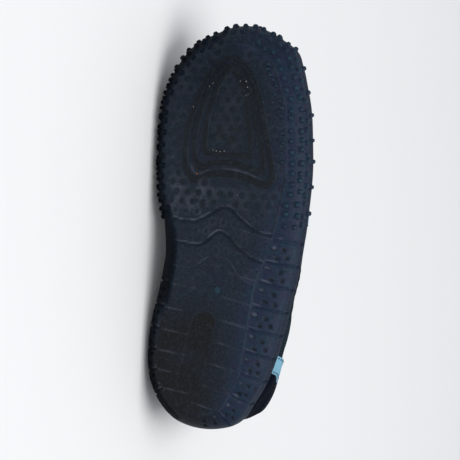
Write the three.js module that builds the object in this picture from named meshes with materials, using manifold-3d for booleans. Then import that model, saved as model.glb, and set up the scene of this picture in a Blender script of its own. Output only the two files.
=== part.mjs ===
// Water shoe for the left foot: a moulded rubber cup sole, a hollow fabric upper and its bands.
// The shoe is shaped standing, with x to its inner side, y to its toe and z up, in millimetres.
// It is then laid down on its inner side, sole edge and upper both on the floor.
import * as THREE from 'three';
import { mergeVertices } from 'three/addons/utils/BufferGeometryUtils.js';
import { ConvexHull } from 'three/addons/math/ConvexHull.js';
import Module from 'manifold-3d';

const wasm = await Module();
wasm.setup();

// Sole
const LENGTH = 256;
const BALL_WIDTH = 100;
const SOLE_FLOOR = 4.5;
const SOLE_SPINE = 0.72;
const CUP_CORNER = 7.6;
const CUP_KNEE = 12.5;
const RIM_SET_IN = 1.0;
const RIM_WALL = 2.0;
const WIDEST_AT = 0.52;
const EDGE_ANGLE = 0.45;
const ARCH_RISE = 2.4;
const SIDE_TURN_AT = 0.7;
const CORNER_SHARE = 0.3;
const CORNER_SET = 2.6;
const FLOOR_SHARE = 0.64;
const FLOOR_SET = 2.5;
const RELIEF = 1.0;

// Tread
const RIB_WIDTH = 3.3;
const WAVE_WIDTH = 2.2;
const WAVE_DEPTH = 1.2;
const SIPE_WIDTH = 1.8;
const SIPE_DEPTH = 1.1;
const SIPE_FIRST = 0.528;
const SIPE_PITCH = 0.057;
const OUTER_SIPES = 9;
const INNER_SIPES_FROM = 2;
const INNER_SIPES_TO = 7;
const NUB_WIDTH = 3.6;
const NUB_HEIGHT = 2.8;
const NUB_PITCH = 7.9;
const NUB_ROWS = [0.24, 0.5, 0.78];
const NUBS_UNTIL = 0.48;
const SLOT_WIDTH = 15;
const SLOT_LENGTH = 50;
const SLOT_DEPTH = 0.8;
const GATE_RING = 5.6;
const GATE_DISC = 3.0;
const GATE_DEPTH = 0.7;

// Upper
const ROUND_STEP = 6.2;
const GAP = 0.3;
const UPPER_WALL = 2.0;
const UPPER_ROWS = 6;
const TOE_BOX_AT = 0.15;
const THROAT_AT = 0.5;
const THROAT_TURN = 93;
const INSTEP_BAND = [83.5, 88.5];
const HEEL_BAND = [128.6, 135.4];
const BAND_THICK = 1.1;
const BAND_EASE = 0.25;
const PANEL_THICK = 0.9;
const BINDING_THICK = 1.3;
const BINDING_CLEAR = 0.4;
const INSOLE_THICK = 4.0;
const INSOLE_EASE = 0.7;
const INSOLE_BROW = 0.6;

// Sole sections by share of the length from the toe. centre, half and the edges are widths.
const SOLE_ROWS = [
  { t: 0.0, spring: 11.0, rim: 20.0, edgeIn: 13.0, edgeOut: 13.0 },
  { t: 0.05, spring: 8.0, rim: 20.5, edgeIn: 12.5, edgeOut: 13.0 },
  { t: 0.1, spring: 5.3, rim: 21.0, edgeIn: 11.5, edgeOut: 12.0 },
  { t: 0.2, spring: 2.2, rim: 21.5, edgeIn: 9.5, edgeOut: 10.0 },
  { t: 0.35, spring: 1.0, rim: 21.0, edgeIn: 9.0, edgeOut: 10.5 },
  { t: 0.5, spring: 1.0, rim: 20.5, edgeIn: 10.0, edgeOut: 14.5 },
  { t: 0.65, spring: 0.0, rim: 21.5, edgeIn: 11.0, edgeOut: 19.5 },
  { t: 0.8, spring: 0.0, rim: 22.5, edgeIn: 11.0, edgeOut: 16.0 },
  { t: 0.91, spring: 0.0, rim: 22.5, edgeIn: 11.0, edgeOut: 11.0 },
  { t: 1.0, spring: 2.5, rim: 22.5, edgeIn: 10.5, edgeOut: 10.0 },
];

// The sole's plan, both columns as shares of the ball width.
const PLAN_ROWS = [
  { t: 0.02, centre: -0.055, half: 0.17 },
  { t: 0.05, centre: -0.05, half: 0.308 },
  { t: 0.09, centre: -0.045, half: 0.392 },
  { t: 0.14, centre: -0.042, half: 0.448 },
  { t: 0.2, centre: -0.045, half: 0.489 },
  { t: 0.27, centre: -0.055, half: 0.505 },
  { t: 0.35, centre: -0.069, half: 0.51 },
  { t: 0.43, centre: -0.079, half: 0.497 },
  { t: 0.5, centre: -0.098, half: 0.469 },
  { t: 0.57, centre: -0.099, half: 0.452 },
  { t: 0.65, centre: -0.071, half: 0.443 },
  { t: 0.73, centre: -0.034, half: 0.437 },
  { t: 0.81, centre: -0.01, half: 0.428 },
  { t: 0.88, centre: 0.009, half: 0.387 },
  { t: 0.93, centre: 0.019, half: 0.32 },
  { t: 0.97, centre: 0.019, half: 0.233 },
  { t: 0.99, centre: 0.015, half: 0.15 },
];

// Top line of the front of the upper, by share of the length from the toe.
const RIDGE_ROWS = [
  { t: 0.15, z: 43 },
  { t: 0.22, z: 46 },
  { t: 0.3, z: 50.5 },
  { t: 0.4, z: 58 },
  { t: 0.46, z: 63 },
  { t: 0.5, z: 66 },
];

// Collar by the turn in degrees round the foot from the toe: t along it, x as a share of the ball width.
const COLLAR_ROWS = [
  { turn: 93, t: 0.5, x: 0.0, z: 66, round: 1.0 },
  { turn: 98, t: 0.53, x: 0.15, z: 64.5, round: 0.9 },
  { turn: 108, t: 0.615, x: 0.27, z: 59, round: 0.7 },
  { turn: 123, t: 0.76, x: 0.33, z: 55.5, round: 0.5 },
  { turn: 135, t: 0.862, x: 0.325, z: 57, round: 0.45 },
  { turn: 145, t: 0.918, x: 0.29, z: 59, round: 0.45 },
  { turn: 155, t: 0.953, x: 0.215, z: 61, round: 0.45 },
  { turn: 180, t: 0.98, x: 0.0, z: 63, round: 0.45 },
];

// The forefoot's three ribs: an arrowhead, and the same drawn in about its centre along and across.
const ARROW_CENTRE = { t: 0.223, x: -0.03 };
const RIB_SCALES = [
  { along: 1, across: 1 },
  { along: 0.87, across: 0.79 },
  { along: 0.7, across: 0.54 },
];

// The arrowhead's line, x as a share of the ball width.
const ARROW_ROWS = [
  { t: 0.084, x: 0.0 },
  { t: 0.122, x: -0.149 },
  { t: 0.183, x: -0.261 },
  { t: 0.246, x: -0.326 },
  { t: 0.314, x: -0.362 },
  { t: 0.37, x: -0.37 },
  { t: 0.397, x: -0.33 },
  { t: 0.383, x: -0.207 },
  { t: 0.377, x: -0.07 },
  { t: 0.383, x: 0.07 },
  { t: 0.397, x: 0.165 },
  { t: 0.37, x: 0.225 },
  { t: 0.33, x: 0.235 },
  { t: 0.263, x: 0.22 },
  { t: 0.195, x: 0.188 },
  { t: 0.122, x: 0.12 },
];

// Wavy grooves over the waist, from the inner side to the outer side.
const WAVES = [
  [
    { t: 0.482, x: 0.33 },
    { t: 0.492, x: 0.132 },
    { t: 0.452, x: -0.074 },
    { t: 0.477, x: -0.174 },
    { t: 0.512, x: -0.3 },
    { t: 0.528, x: -0.4 },
  ],
  [
    { t: 0.541, x: 0.3 },
    { t: 0.546, x: 0.13 },
    { t: 0.515, x: -0.016 },
    { t: 0.52, x: -0.105 },
    { t: 0.561, x: -0.229 },
    { t: 0.582, x: -0.37 },
  ],
  [
    { t: 0.602, x: 0.27 },
    { t: 0.608, x: 0.12 },
    { t: 0.58, x: 0.0 },
    { t: 0.584, x: -0.116 },
    { t: 0.626, x: -0.219 },
    { t: 0.64, x: -0.31 },
  ],
];
const GATE = { t: 0.658, x: -0.039 };
const SLOT = { t: 0.81, x: 0.045 };

const DOWN = new THREE.Vector3(0, 0, -1);
const DENSITY = { outsole: 1.15, upper: 0.45 };

// A smooth curve through the rows of a table, level beyond its ends.
function through(rows, at, key) {
  const n = rows.length;
  const step = rows.slice(1).map((r, i) => (r[key] - rows[i][key]) / (r[at] - rows[i][at]));
  const slope = rows.map((r, i) => {
    if (i === 0) return step[0];
    if (i === n - 1) return step[n - 2];
    if (step[i - 1] * step[i] <= 0) return 0;
    return 2 / (1 / step[i - 1] + 1 / step[i]);
  });
  return (v) => {
    if (v <= rows[0][at]) return rows[0][key];
    if (v >= rows[n - 1][at]) return rows[n - 1][key];
    let i = 0;
    while (v > rows[i + 1][at]) i += 1;
    const w = rows[i + 1][at] - rows[i][at];
    const s = (v - rows[i][at]) / w;
    const a = rows[i][key];
    const b = rows[i + 1][key];
    const rise = (b - a) * s * s * (3 - 2 * s);
    return a + rise + w * s * (1 - s) * (slope[i] * (1 - s) - slope[i + 1] * s);
  };
}

// The plan's half width over a round end, so that it closes smoothly at toe and heel.
const PLAN_FULL = PLAN_ROWS.map((r) => ({ ...r, full: r.half / Math.sqrt(r.t * (1 - r.t)) }));
const fullAt = through(PLAN_FULL, 't', 'full');
const centreAt = through(PLAN_ROWS, 't', 'centre');
const springAt = through(SOLE_ROWS, 't', 'spring');
const rimAt = through(SOLE_ROWS, 't', 'rim');
const edgeInAt = through(SOLE_ROWS, 't', 'edgeIn');
const edgeOutAt = through(SOLE_ROWS, 't', 'edgeOut');
const ridgeAt = through(RIDGE_ROWS, 't', 'z');

function smooth(from, to, v) {
  return THREE.MathUtils.smoothstep(v, from, to);
}

function lengthShare(turn) {
  return (1 - Math.cos(turn)) / 2;
}

// Point of the sole's plan at a turn from the toe, over the outer side first.
function planPoint(turn) {
  const t = lengthShare(turn);
  const x = BALL_WIDTH * (centreAt(t) - (fullAt(t) * Math.sin(turn)) / 2);
  return new THREE.Vector2(x, LENGTH * (1 - t));
}

// Underside of the sole without its relief: toe spring, flat heel and the arch of the inner side.
function treadHeight(x, y) {
  const t = THREE.MathUtils.clamp(1 - y / LENGTH, 0, 1);
  const inward = smooth(0.08, 0.42, x / BALL_WIDTH);
  const waist = smooth(0.44, 0.57, t) * (1 - smooth(0.62, 0.76, t));
  return springAt(t) + ARCH_RISE * inward * waist;
}

// What the shapes need to know at one turn: plan point, outward direction and section sizes.
function station(turn) {
  const t = lengthShare(turn);
  const p = planPoint(turn);
  const ahead = planPoint(turn + 0.01).sub(planPoint(turn - 0.01)).normalize();
  const edge = Math.sin(turn) >= 0 ? edgeOutAt(t) : edgeInAt(t);
  return { turn, t, p, out: new THREE.Vector2(ahead.y, -ahead.x), edge, rim: rimAt(t) };
}

// A point set in from the plan by a distance, at a rise over the tread there.
function placed(s, inset, rise) {
  const x = s.p.x - s.out.x * inset;
  const y = s.p.y - s.out.y * inset;
  return new THREE.Vector3(x, y, treadHeight(x, y) + rise);
}

// Outer face of the sole's side, from the edge of the tread at 0 to the rim at 1.
function sidePoint(s, u) {
  const widest = s.rim * WIDEST_AT;
  if (u > SIDE_TURN_AT) {
    const w = (u - SIDE_TURN_AT) / (1 - SIDE_TURN_AT);
    return placed(s, RIM_SET_IN * w * w, widest + (s.rim - widest) * w);
  }
  const q = EDGE_ANGLE + ((Math.PI / 2 - EDGE_ANGLE) * u) / SIDE_TURN_AT;
  const low = Math.sin(EDGE_ANGLE);
  const inset = (s.edge * (1 - Math.sin(q))) / (1 - low);
  return placed(s, inset, (widest * (Math.cos(EDGE_ANGLE) - Math.cos(q))) / Math.cos(EDGE_ANGLE));
}

function sideNormal(turn, u) {
  const along = sidePoint(station(turn + 0.01), u).sub(sidePoint(station(turn - 0.01), u));
  const s = station(turn);
  const over = sidePoint(s, u + 0.02).sub(sidePoint(s, u - 0.02));
  return along.cross(over).negate().normalize();
}

// A point on the line down the middle of the foot, or a share of the way out from it to the tread's edge.
function fromSpine(s, share, rise) {
  const y = LENGTH / 2 + (s.p.y - LENGTH / 2) * SOLE_SPINE;
  const x = BALL_WIDTH * centreAt(1 - y / LENGTH);
  const edge = sidePoint(s, 0);
  const px = THREE.MathUtils.lerp(x, edge.x, share);
  const py = THREE.MathUtils.lerp(y, edge.y, share);
  return new THREE.Vector3(px, py, treadHeight(px, py) + rise);
}

// How far in from the outline the cup's corner and the edge of its floor lie.
function cornerInset(s) {
  return s.edge * CORNER_SHARE + CORNER_SET;
}

function floorInset(s) {
  return s.edge * FLOOR_SHARE + FLOOR_SET;
}

// Turns at which every ring has its points: the bands' edges are among them.
function turnsRound() {
  const marks = [0, ...INSTEP_BAND, THROAT_TURN, ...HEEL_BAND, 180];
  const half = [];
  for (let i = 0; i + 1 < marks.length; i += 1) {
    const parts = Math.max(1, Math.ceil((marks[i + 1] - marks[i]) / ROUND_STEP));
    for (let k = 0; k < parts; k += 1) {
      half.push(marks[i] + ((marks[i + 1] - marks[i]) * k) / parts);
    }
  }
  half.push(180);
  const back = half.slice(1, -1).reverse().map((d) => 360 - d);
  return [...half, ...back];
}

const TURNS = turnsRound();
const ROUND = TURNS.length;
const STATIONS = TURNS.map((d) => station(THREE.MathUtils.degToRad(d)));

// A closed surface from points and the corners of its faces, with shared corners welded.
function surface(points, faces) {
  const geometry = new THREE.BufferGeometry();
  const numbers = points.flatMap((p) => [p.x, p.y, p.z]);
  geometry.setAttribute('position', new THREE.Float32BufferAttribute(numbers, 3));
  geometry.setIndex(faces.flat());
  const welded = mergeVertices(geometry, 1e-3);
  const index = welded.index.array;
  const kept = [];
  for (let i = 0; i < index.length; i += 3) {
    const [a, b, c] = [index[i], index[i + 1], index[i + 2]];
    if (a !== b && b !== c && c !== a) kept.push(a, b, c);
  }
  welded.setIndex(kept);
  return welded;
}

// Faces between closed rings of n points, one ring to the next, and from the last to the first in a loop.
// Each quad is split along one diagonal, or along the other at the places in turned.
function ringFaces(n, count, loop, turned = []) {
  const faces = [];
  for (let r = 0; r < (loop ? count : count - 1); r += 1) {
    const next = (r + 1) % count;
    for (let i = 0; i < n; i += 1) {
      const j = (i + 1) % n;
      const [a, b] = [r * n + i, r * n + j];
      const [c, d] = [next * n + i, next * n + j];
      if (turned.includes(i)) faces.push([a, b, c], [b, d, c]);
      else faces.push([a, b, d], [a, d, c]);
    }
  }
  return faces;
}

function joinRings(rings, loop, turned) {
  return surface(rings.flat(), ringFaces(rings[0].length, rings.length, loop, turned));
}

function toManifold(geometry) {
  const plain = geometry.clone();
  plain.deleteAttribute('normal');
  plain.deleteAttribute('uv');
  const welded = mergeVertices(plain, 1e-4);
  const mesh = new wasm.Mesh({
    numProp: 3,
    vertProperties: new Float32Array(welded.attributes.position.array),
    triVerts: new Uint32Array(welded.index.array),
  });
  const made = new wasm.Manifold(mesh);
  return made.volume() < 0 ? flipped(welded) : made;
}

function flipped(welded) {
  const turned = Array.from(welded.index.array);
  for (let i = 0; i < turned.length; i += 3) {
    [turned[i + 1], turned[i + 2]] = [turned[i + 2], turned[i + 1]];
  }
  const mesh = new wasm.Mesh({
    numProp: 3,
    vertProperties: new Float32Array(welded.attributes.position.array),
    triVerts: new Uint32Array(turned),
  });
  return new wasm.Manifold(mesh);
}

function fromManifold(solid) {
  const mesh = solid.getMesh();
  const geometry = new THREE.BufferGeometry();
  const positions = new Float32Array(mesh.numVert * 3);
  for (let i = 0; i < mesh.numVert; i += 1) {
    for (let k = 0; k < 3; k += 1) positions[i * 3 + k] = mesh.vertProperties[i * mesh.numProp + k];
  }
  geometry.setAttribute('position', new THREE.BufferAttribute(positions, 3));
  geometry.setIndex(new THREE.BufferAttribute(new Uint32Array(mesh.triVerts), 1));
  return geometry;
}

// A bar of rectangular section along a path of surface points and outward normals.
function bar(path, width, low, high, loop) {
  const n = path.length;
  const rings = path.map(({ p, n: out }, i) => {
    const before = loop ? path[(i + n - 1) % n].p : path[Math.max(0, i - 1)].p;
    const after = loop ? path[(i + 1) % n].p : path[Math.min(n - 1, i + 1)].p;
    const side = after.clone().sub(before).cross(out).normalize();
    const corners = [[-0.5, low], [0.5, low], [0.5, high], [-0.5, high]];
    return corners.map(([w, h]) => p.clone().addScaledVector(side, w * width).addScaledVector(out, h));
  });
  const faces = ringFaces(4, n, loop);
  const last = (n - 1) * 4;
  if (!loop) faces.push([2, 1, 0], [3, 2, 0], [last, last + 1, last + 2], [last, last + 2, last + 3]);
  return toManifold(surface(rings.flat(), faces));
}

function treadSpot(row) {
  const x = row.x * BALL_WIDTH;
  const y = LENGTH * (1 - row.t);
  return { p: new THREE.Vector3(x, y, treadHeight(x, y)), n: DOWN };
}

function rounded(rows, count, closed) {
  const flat = rows.map((r) => new THREE.Vector3(r.x, r.t, 0));
  const curve = new THREE.CatmullRomCurve3(flat, closed, 'centripetal');
  const spots = curve.getSpacedPoints(count);
  if (closed) spots.pop();
  return spots.map((v) => ({ t: v.y, x: v.x }));
}

function scaledArrow({ along, across }) {
  return ARROW_ROWS.map((r) => ({
    t: ARROW_CENTRE.t + (r.t - ARROW_CENTRE.t) * along,
    x: ARROW_CENTRE.x + (r.x - ARROW_CENTRE.x) * across,
  }));
}

// Pointed nubs in staggered rows on the side of the front half.
function nubs() {
  const made = [];
  NUB_ROWS.forEach((u, row) => {
    let walked = row % 2 ? NUB_PITCH / 2 : 0;
    const reach = Math.acos(1 - 2 * NUBS_UNTIL);
    let last = sidePoint(station(-reach), u);
    for (let turn = -reach; turn <= reach; turn += 0.004) {
      const p = sidePoint(station(turn), u);
      walked += p.distanceTo(last);
      last = p;
      if (walked < NUB_PITCH) continue;
      walked -= NUB_PITCH;
      const nub = new THREE.ConeGeometry(NUB_WIDTH * 0.9, NUB_HEIGHT + 1, 4, 1);
      nub.translate(0, (NUB_HEIGHT - 1) / 2, 0);
      const out = sideNormal(turn, u);
      nub.applyQuaternion(new THREE.Quaternion().setFromUnitVectors(new THREE.Vector3(0, 1, 0), out));
      nub.translate(p.x, p.y, p.z);
      made.push(toManifold(nub));
    }
  });
  return made;
}

// Grooves across the side of the heel and waist, from the tread's edge to above the widest line.
function sipes() {
  const made = [];
  for (let k = 0; k < OUTER_SIPES; k += 1) {
    const turn = Math.acos(1 - 2 * (SIPE_FIRST + k * SIPE_PITCH));
    const sides = k >= INNER_SIPES_FROM && k <= INNER_SIPES_TO ? [turn, -turn] : [turn];
    for (const a of sides) {
      const s = station(a);
      const path = [0.02, 0.2, 0.4, 0.6, 0.78].map((u) => ({ p: sidePoint(s, u), n: sideNormal(a, u) }));
      made.push(bar(path, SIPE_WIDTH, -SIPE_DEPTH, 1.5, false));
    }
  }
  return made;
}

function slotShape() {
  const shape = new THREE.Shape();
  const r = SLOT_WIDTH / 2;
  const half = SLOT_LENGTH / 2 - r;
  shape.absarc(0, half, r, 0, Math.PI, false);
  shape.absarc(0, -half, r, Math.PI, 2 * Math.PI, false);
  shape.closePath();
  const depth = SLOT_DEPTH + 1;
  const cut = new THREE.ExtrudeGeometry(shape, { depth, bevelEnabled: false, curveSegments: 8 });
  cut.translate(SLOT.x * BALL_WIDTH, LENGTH * (1 - SLOT.t), -1);
  return toManifold(cut);
}

function gateRing() {
  const spot = treadSpot(GATE).p;
  const outer = new THREE.CylinderGeometry(GATE_RING / 2, GATE_RING / 2, GATE_DEPTH + 1, 12);
  const inner = new THREE.CylinderGeometry(GATE_DISC / 2, GATE_DISC / 2, GATE_DEPTH + 3, 12);
  const [a, b] = [outer, inner].map((g) => {
    g.rotateX(Math.PI / 2);
    g.translate(spot.x, spot.y, spot.z + (GATE_DEPTH - 1) / 2);
    return toManifold(g);
  });
  return a.subtract(b);
}

function outsole() {
  const rings = [];
  rings.push(STATIONS.map((s) => fromSpine(s, 0, 0)));
  rings.push(STATIONS.map((s) => fromSpine(s, 0.5, 0)));
  for (const u of [0, 0.18, 0.36, 0.53, 0.7, 1]) rings.push(STATIONS.map((s) => sidePoint(s, u)));
  rings.push(STATIONS.map((s) => placed(s, RIM_SET_IN + RIM_WALL, s.rim)));
  rings.push(STATIONS.map((s) => placed(s, RIM_SET_IN + RIM_WALL + 1, CUP_KNEE)));
  rings.push(STATIONS.map((s) => placed(s, cornerInset(s), CUP_CORNER)));
  rings.push(STATIONS.map((s) => placed(s, floorInset(s), SOLE_FLOOR)));
  rings.push(STATIONS.map((s) => fromSpine(s, 0.5, SOLE_FLOOR)));
  rings.push(STATIONS.map((s) => fromSpine(s, 0, SOLE_FLOOR)));
  let solid = toManifold(joinRings(rings, false));
  const added = RIB_SCALES.map((scale) => {
    const path = rounded(scaledArrow(scale), 28, true).map(treadSpot);
    return bar(path, RIB_WIDTH, -1, RELIEF, true);
  });
  added.push(...nubs());
  for (const piece of added) solid = solid.add(piece);
  const cut = WAVES.map((rows) => {
    const path = rounded(rows, 16, false).map(treadSpot);
    return bar(path, WAVE_WIDTH, -WAVE_DEPTH, 1.5, false);
  });
  cut.push(...sipes(), slotShape(), gateRing());
  for (const piece of cut) solid = solid.subtract(piece);
  return fromManifold(solid);
}

// Where the side of the upper ends: the ridge over the front, or the edge of the collar.
function topPoint(turnDegrees) {
  const turn = turnDegrees > 180 ? 360 - turnDegrees : turnDegrees;
  const side = turnDegrees > 180 ? 1 : -1;
  if (turn <= THROAT_TURN) {
    const full = lengthShare(THREE.MathUtils.degToRad(THROAT_TURN));
    const share = lengthShare(THREE.MathUtils.degToRad(turn)) / full;
    const t = TOE_BOX_AT + (THROAT_AT - TOE_BOX_AT) * share;
    return new THREE.Vector3(BALL_WIDTH * centreAt(t), LENGTH * (1 - t), ridgeAt(t));
  }
  const [t, x, z] = ['t', 'x', 'z'].map((key) => through(COLLAR_ROWS, 'turn', key)(turn));
  return new THREE.Vector3(BALL_WIDTH * (centreAt(t) + side * x), LENGTH * (1 - t), z);
}

// Outer face of the upper in columns from inside the cup of the sole to its top.
function upperColumn(s, turnDegrees) {
  const turn = turnDegrees > 180 ? 360 - turnDegrees : turnDegrees;
  const top = topPoint(turnDegrees);
  const round = through(COLLAR_ROWS, 'turn', 'round')(turn);
  const foot = placed(s, cornerInset(s) + 0.7, CUP_CORNER + 0.6);
  const knee = placed(s, RIM_SET_IN + RIM_WALL + 1 + GAP + 0.15, CUP_KNEE);
  const brim = placed(s, RIM_SET_IN + RIM_WALL + GAP, s.rim + GAP + 0.1);
  const column = [foot, knee, brim];
  for (let k = 1; k <= UPPER_ROWS; k += 1) {
    const v = k / UPPER_ROWS;
    const q = (v * Math.PI) / 2;
    const inward = (1 - round) * v + round * (1 - Math.cos(q));
    const up = (1 - round) * v + round * Math.sin(q);
    column.push(new THREE.Vector3(
      THREE.MathUtils.lerp(brim.x, top.x, inward),
      THREE.MathUtils.lerp(brim.y, top.y, inward),
      THREE.MathUtils.lerp(brim.z, top.z, up),
    ));
  }
  return column;
}

const COLUMNS = STATIONS.map((s, i) => upperColumn(s, TURNS[i]));
const ROWS = COLUMNS[0].length;
const BRIM = 2;

// Faces of the upper's outer side. Over the front the two sides meet along the ridge.
function upperFaces() {
  const faces = [];
  for (let i = 0; i < ROUND; i += 1) {
    const j = (i + 1) % ROUND;
    for (let k = 0; k + 1 < ROWS; k += 1) {
      const [a, b] = [i * ROWS + k, j * ROWS + k];
      faces.push([a, b, b + 1], [a, b + 1, a + 1]);
    }
  }
  return faces;
}

// The upper's grid with the outward normal of each of its points.
function upperGrid() {
  const geometry = surface(COLUMNS.flat(), upperFaces());
  geometry.computeVertexNormals();
  const { position, normal } = geometry.attributes;
  const spots = Array.from({ length: position.count }, (_, i) => ({
    p: new THREE.Vector3().fromBufferAttribute(position, i),
    n: new THREE.Vector3().fromBufferAttribute(normal, i),
  }));
  const nearer = (p, a, b) => (b.p.distanceToSquared(p) < a.p.distanceToSquared(p) ? b : a);
  const nearest = (p) => spots.reduce((a, b) => nearer(p, a, b));
  return COLUMNS.map((column) => column.map((p) => ({ p, n: nearest(p).n })));
}

const GRID = upperGrid();

function raised({ p, n }, height) {
  return p.clone().addScaledVector(n, height);
}

function upper() {
  const outer = GRID.flat().map((g) => g.p);
  const inner = GRID.flat().map((g) => raised(g, -UPPER_WALL));
  const count = outer.length;
  const faces = upperFaces();
  const all = [...faces, ...faces.map(([a, b, c]) => [a + count, c + count, b + count])];
  const rim = (a, b) => all.push([a, b, b + count], [a, b + count, a + count]);
  const throat = TURNS.indexOf(THROAT_TURN);
  for (let i = 0; i < ROUND; i += 1) {
    const j = (i + 1) % ROUND;
    rim(j * ROWS, i * ROWS);
    if (i >= throat && i < ROUND - throat) rim(i * ROWS + ROWS - 1, j * ROWS + ROWS - 1);
  }
  return surface([...outer, ...inner], all);
}

// A thin piece over part of the upper, given as columns of its grid, drawn in at the four edges.
function overlay(columns, low, high) {
  const eased = columns.map((column) => column.map((g) => ({ p: g.p.clone(), n: g.n.clone() })));
  const draw = (g, next, by) => {
    g.p.lerp(next.p, Math.min(0.4, by / g.p.distanceTo(next.p)));
  };
  const [m, n] = [columns.length, columns[0].length];
  for (let k = 0; k < n; k += 1) {
    draw(eased[0][k], columns[1][k], BAND_EASE);
    draw(eased[m - 1][k], columns[m - 2][k], BAND_EASE);
  }
  for (const column of eased) {
    draw(column[0], column[1], BAND_EASE);
    draw(column[n - 1], column[n - 2], BAND_EASE * 2);
  }
  const count = m * n;
  const points = [high, low].flatMap((h) => eased.flat().map((g) => raised(g, h)));
  const faces = [];
  for (let i = 0; i + 1 < m; i += 1) {
    for (let k = 0; k + 1 < n; k += 1) {
      const [a, b] = [i * n + k, (i + 1) * n + k];
      faces.push([a, b, b + 1], [a, b + 1, a + 1]);
      faces.push([a + count, b + 1 + count, b + count], [a + count, a + 1 + count, b + 1 + count]);
    }
  }
  const wall = (a, b) => faces.push([a, b, b + count], [a, b + count, a + count]);
  for (let k = 0; k + 1 < n; k += 1) {
    wall(k, k + 1);
    wall((m - 1) * n + k + 1, (m - 1) * n + k);
  }
  for (let i = 0; i + 1 < m; i += 1) {
    wall((i + 1) * n, i * n);
    wall(i * n + n - 1, (i + 1) * n + n - 1);
  }
  return surface(points, faces);
}

function columnsBetween(from, to) {
  return GRID.filter((_, i) => TURNS[i] >= from - 1e-6 && TURNS[i] <= to + 1e-6);
}

function sideBand(from, to) {
  return columnsBetween(from, to).map((column) => column.slice(BRIM, ROWS - 1));
}

// Columns that run up one side, over the ridge and down the other side.
function overBand([from, to]) {
  const outer = columnsBetween(from, to);
  const inner = columnsBetween(360 - to, 360 - from).reverse();
  return outer.map((column, i) => {
    const down = inner[i].slice(BRIM, ROWS - 1).reverse();
    return [...column.slice(BRIM), ...down];
  });
}

// Tape folded over the edge of the collar, all the way round.
function binding() {
  const throat = TURNS.indexOf(THROAT_TURN);
  const loop = [];
  for (let i = throat; i <= ROUND - throat; i += 1) {
    loop.push({ top: GRID[i][ROWS - 1], foot: GRID[i][ROWS - 2] });
  }
  const front = GRID[throat - 1][ROWS - 1];
  loop.push({ top: GRID[throat][ROWS - 1], foot: front });
  const inside = -(UPPER_WALL + BINDING_CLEAR);
  const far = loop.length - 1;
  const rings = loop.map(({ top, foot }, i) => {
    const before = i === 0 || i >= far - 1 ? loop[far - 2].top.p : loop[i - 1].top.p;
    const after = i === 0 || i >= far - 1 ? loop[1].top.p : loop[i + 1].top.p;
    const up = after.clone().sub(before).cross(top.n).normalize();
    if (up.z < 0) up.negate();
    const lifted = (h, by) => raised(top, h).addScaledVector(up, by);
    return [
      raised(foot, GAP + BINDING_THICK),
      lifted(GAP + BINDING_THICK, GAP + BINDING_THICK * 0.6),
      lifted(GAP, GAP + BINDING_THICK),
      lifted(inside, GAP + BINDING_THICK),
      lifted(inside - BINDING_THICK, GAP + BINDING_THICK * 0.6),
      raised(foot, inside - BINDING_THICK),
      raised(foot, inside),
      lifted(inside, GAP),
      lifted(GAP, GAP),
      raised(foot, GAP),
    ];
  });
  return joinRings(rings, true, [8]);
}

function insole() {
  const low = SOLE_FLOOR + GAP;
  const high = low + INSOLE_THICK;
  const inFromCorner = (s) => cornerInset(s) + UPPER_WALL + INSOLE_EASE;
  const bottom = STATIONS.map((s) => placed(s, floorInset(s) + INSOLE_EASE, low));
  const brow = STATIONS.map((s) => placed(s, inFromCorner(s) + 1.5, high - INSOLE_BROW));
  const top = STATIONS.map((s) => placed(s, inFromCorner(s) + 2.5, high));
  return joinRings([
    STATIONS.map((s) => fromSpine(s, 0, low)),
    bottom,
    brow,
    top,
    STATIONS.map((s) => fromSpine(s, 0, high)),
  ], false);
}

function mesh(name, geometry, colour, roughness) {
  const facing = fromManifold(toManifold(geometry)).toNonIndexed();
  facing.computeVertexNormals();
  const material = new THREE.MeshStandardMaterial({ color: colour, roughness, metalness: 0 });
  const made = new THREE.Mesh(facing, material);
  made.name = name;
  return made;
}

const NAVY_RUBBER = 0x262c35;
const NAVY_MESH = 0x26343e;
const NAVY_KNIT = 0x131722;
const LIGHT_BLUE = 0x87b2cb;
const GREY_FOAM = 0x3a4048;

const shoe = new THREE.Group();
shoe.name = 'shoe';
shoe.add(mesh('outsole', outsole(), NAVY_RUBBER, 0.6));
shoe.add(mesh('insole', insole(), GREY_FOAM, 0.9));
shoe.add(mesh('upper', upper(), NAVY_MESH, 0.9));
shoe.add(mesh('collar_binding', binding(), NAVY_KNIT, 0.85));
const [bandLow, bandHigh] = [GAP, GAP + BAND_THICK];
shoe.add(mesh('instep_band', overlay(overBand(INSTEP_BAND), bandLow, bandHigh), LIGHT_BLUE, 0.8));
const outerBand = sideBand(...HEEL_BAND);
const innerBand = sideBand(360 - HEEL_BAND[1], 360 - HEEL_BAND[0]);
shoe.add(mesh('heel_band_outer', overlay(outerBand, bandLow, bandHigh), LIGHT_BLUE, 0.8));
shoe.add(mesh('heel_band_inner', overlay(innerBand, bandLow, bandHigh), LIGHT_BLUE, 0.8));
const panel = sideBand(HEEL_BAND[1], 360 - HEEL_BAND[1]);
shoe.add(mesh('heel_panel', overlay(panel, GAP, GAP + PANEL_THICK), NAVY_KNIT, 0.85));

// Centre of mass from the volumes of the pieces, the sole heavier than the rest.
function balance(group) {
  const sum = new THREE.Vector3();
  let total = 0;
  for (const piece of group.children) {
    const density = piece.name === 'outsole' ? DENSITY.outsole : DENSITY.upper;
    const p = piece.geometry.attributes.position;
    const [a, b, c] = [new THREE.Vector3(), new THREE.Vector3(), new THREE.Vector3()];
    for (let i = 0; i < p.count; i += 3) {
      [a, b, c].forEach((v, k) => v.fromBufferAttribute(p, i + k));
      const weight = (density * a.dot(new THREE.Vector3().crossVectors(b, c))) / 6;
      sum.addScaledVector(a.add(b).add(c), weight / 4);
      total += weight;
    }
  }
  return sum.divideScalar(total);
}

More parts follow.
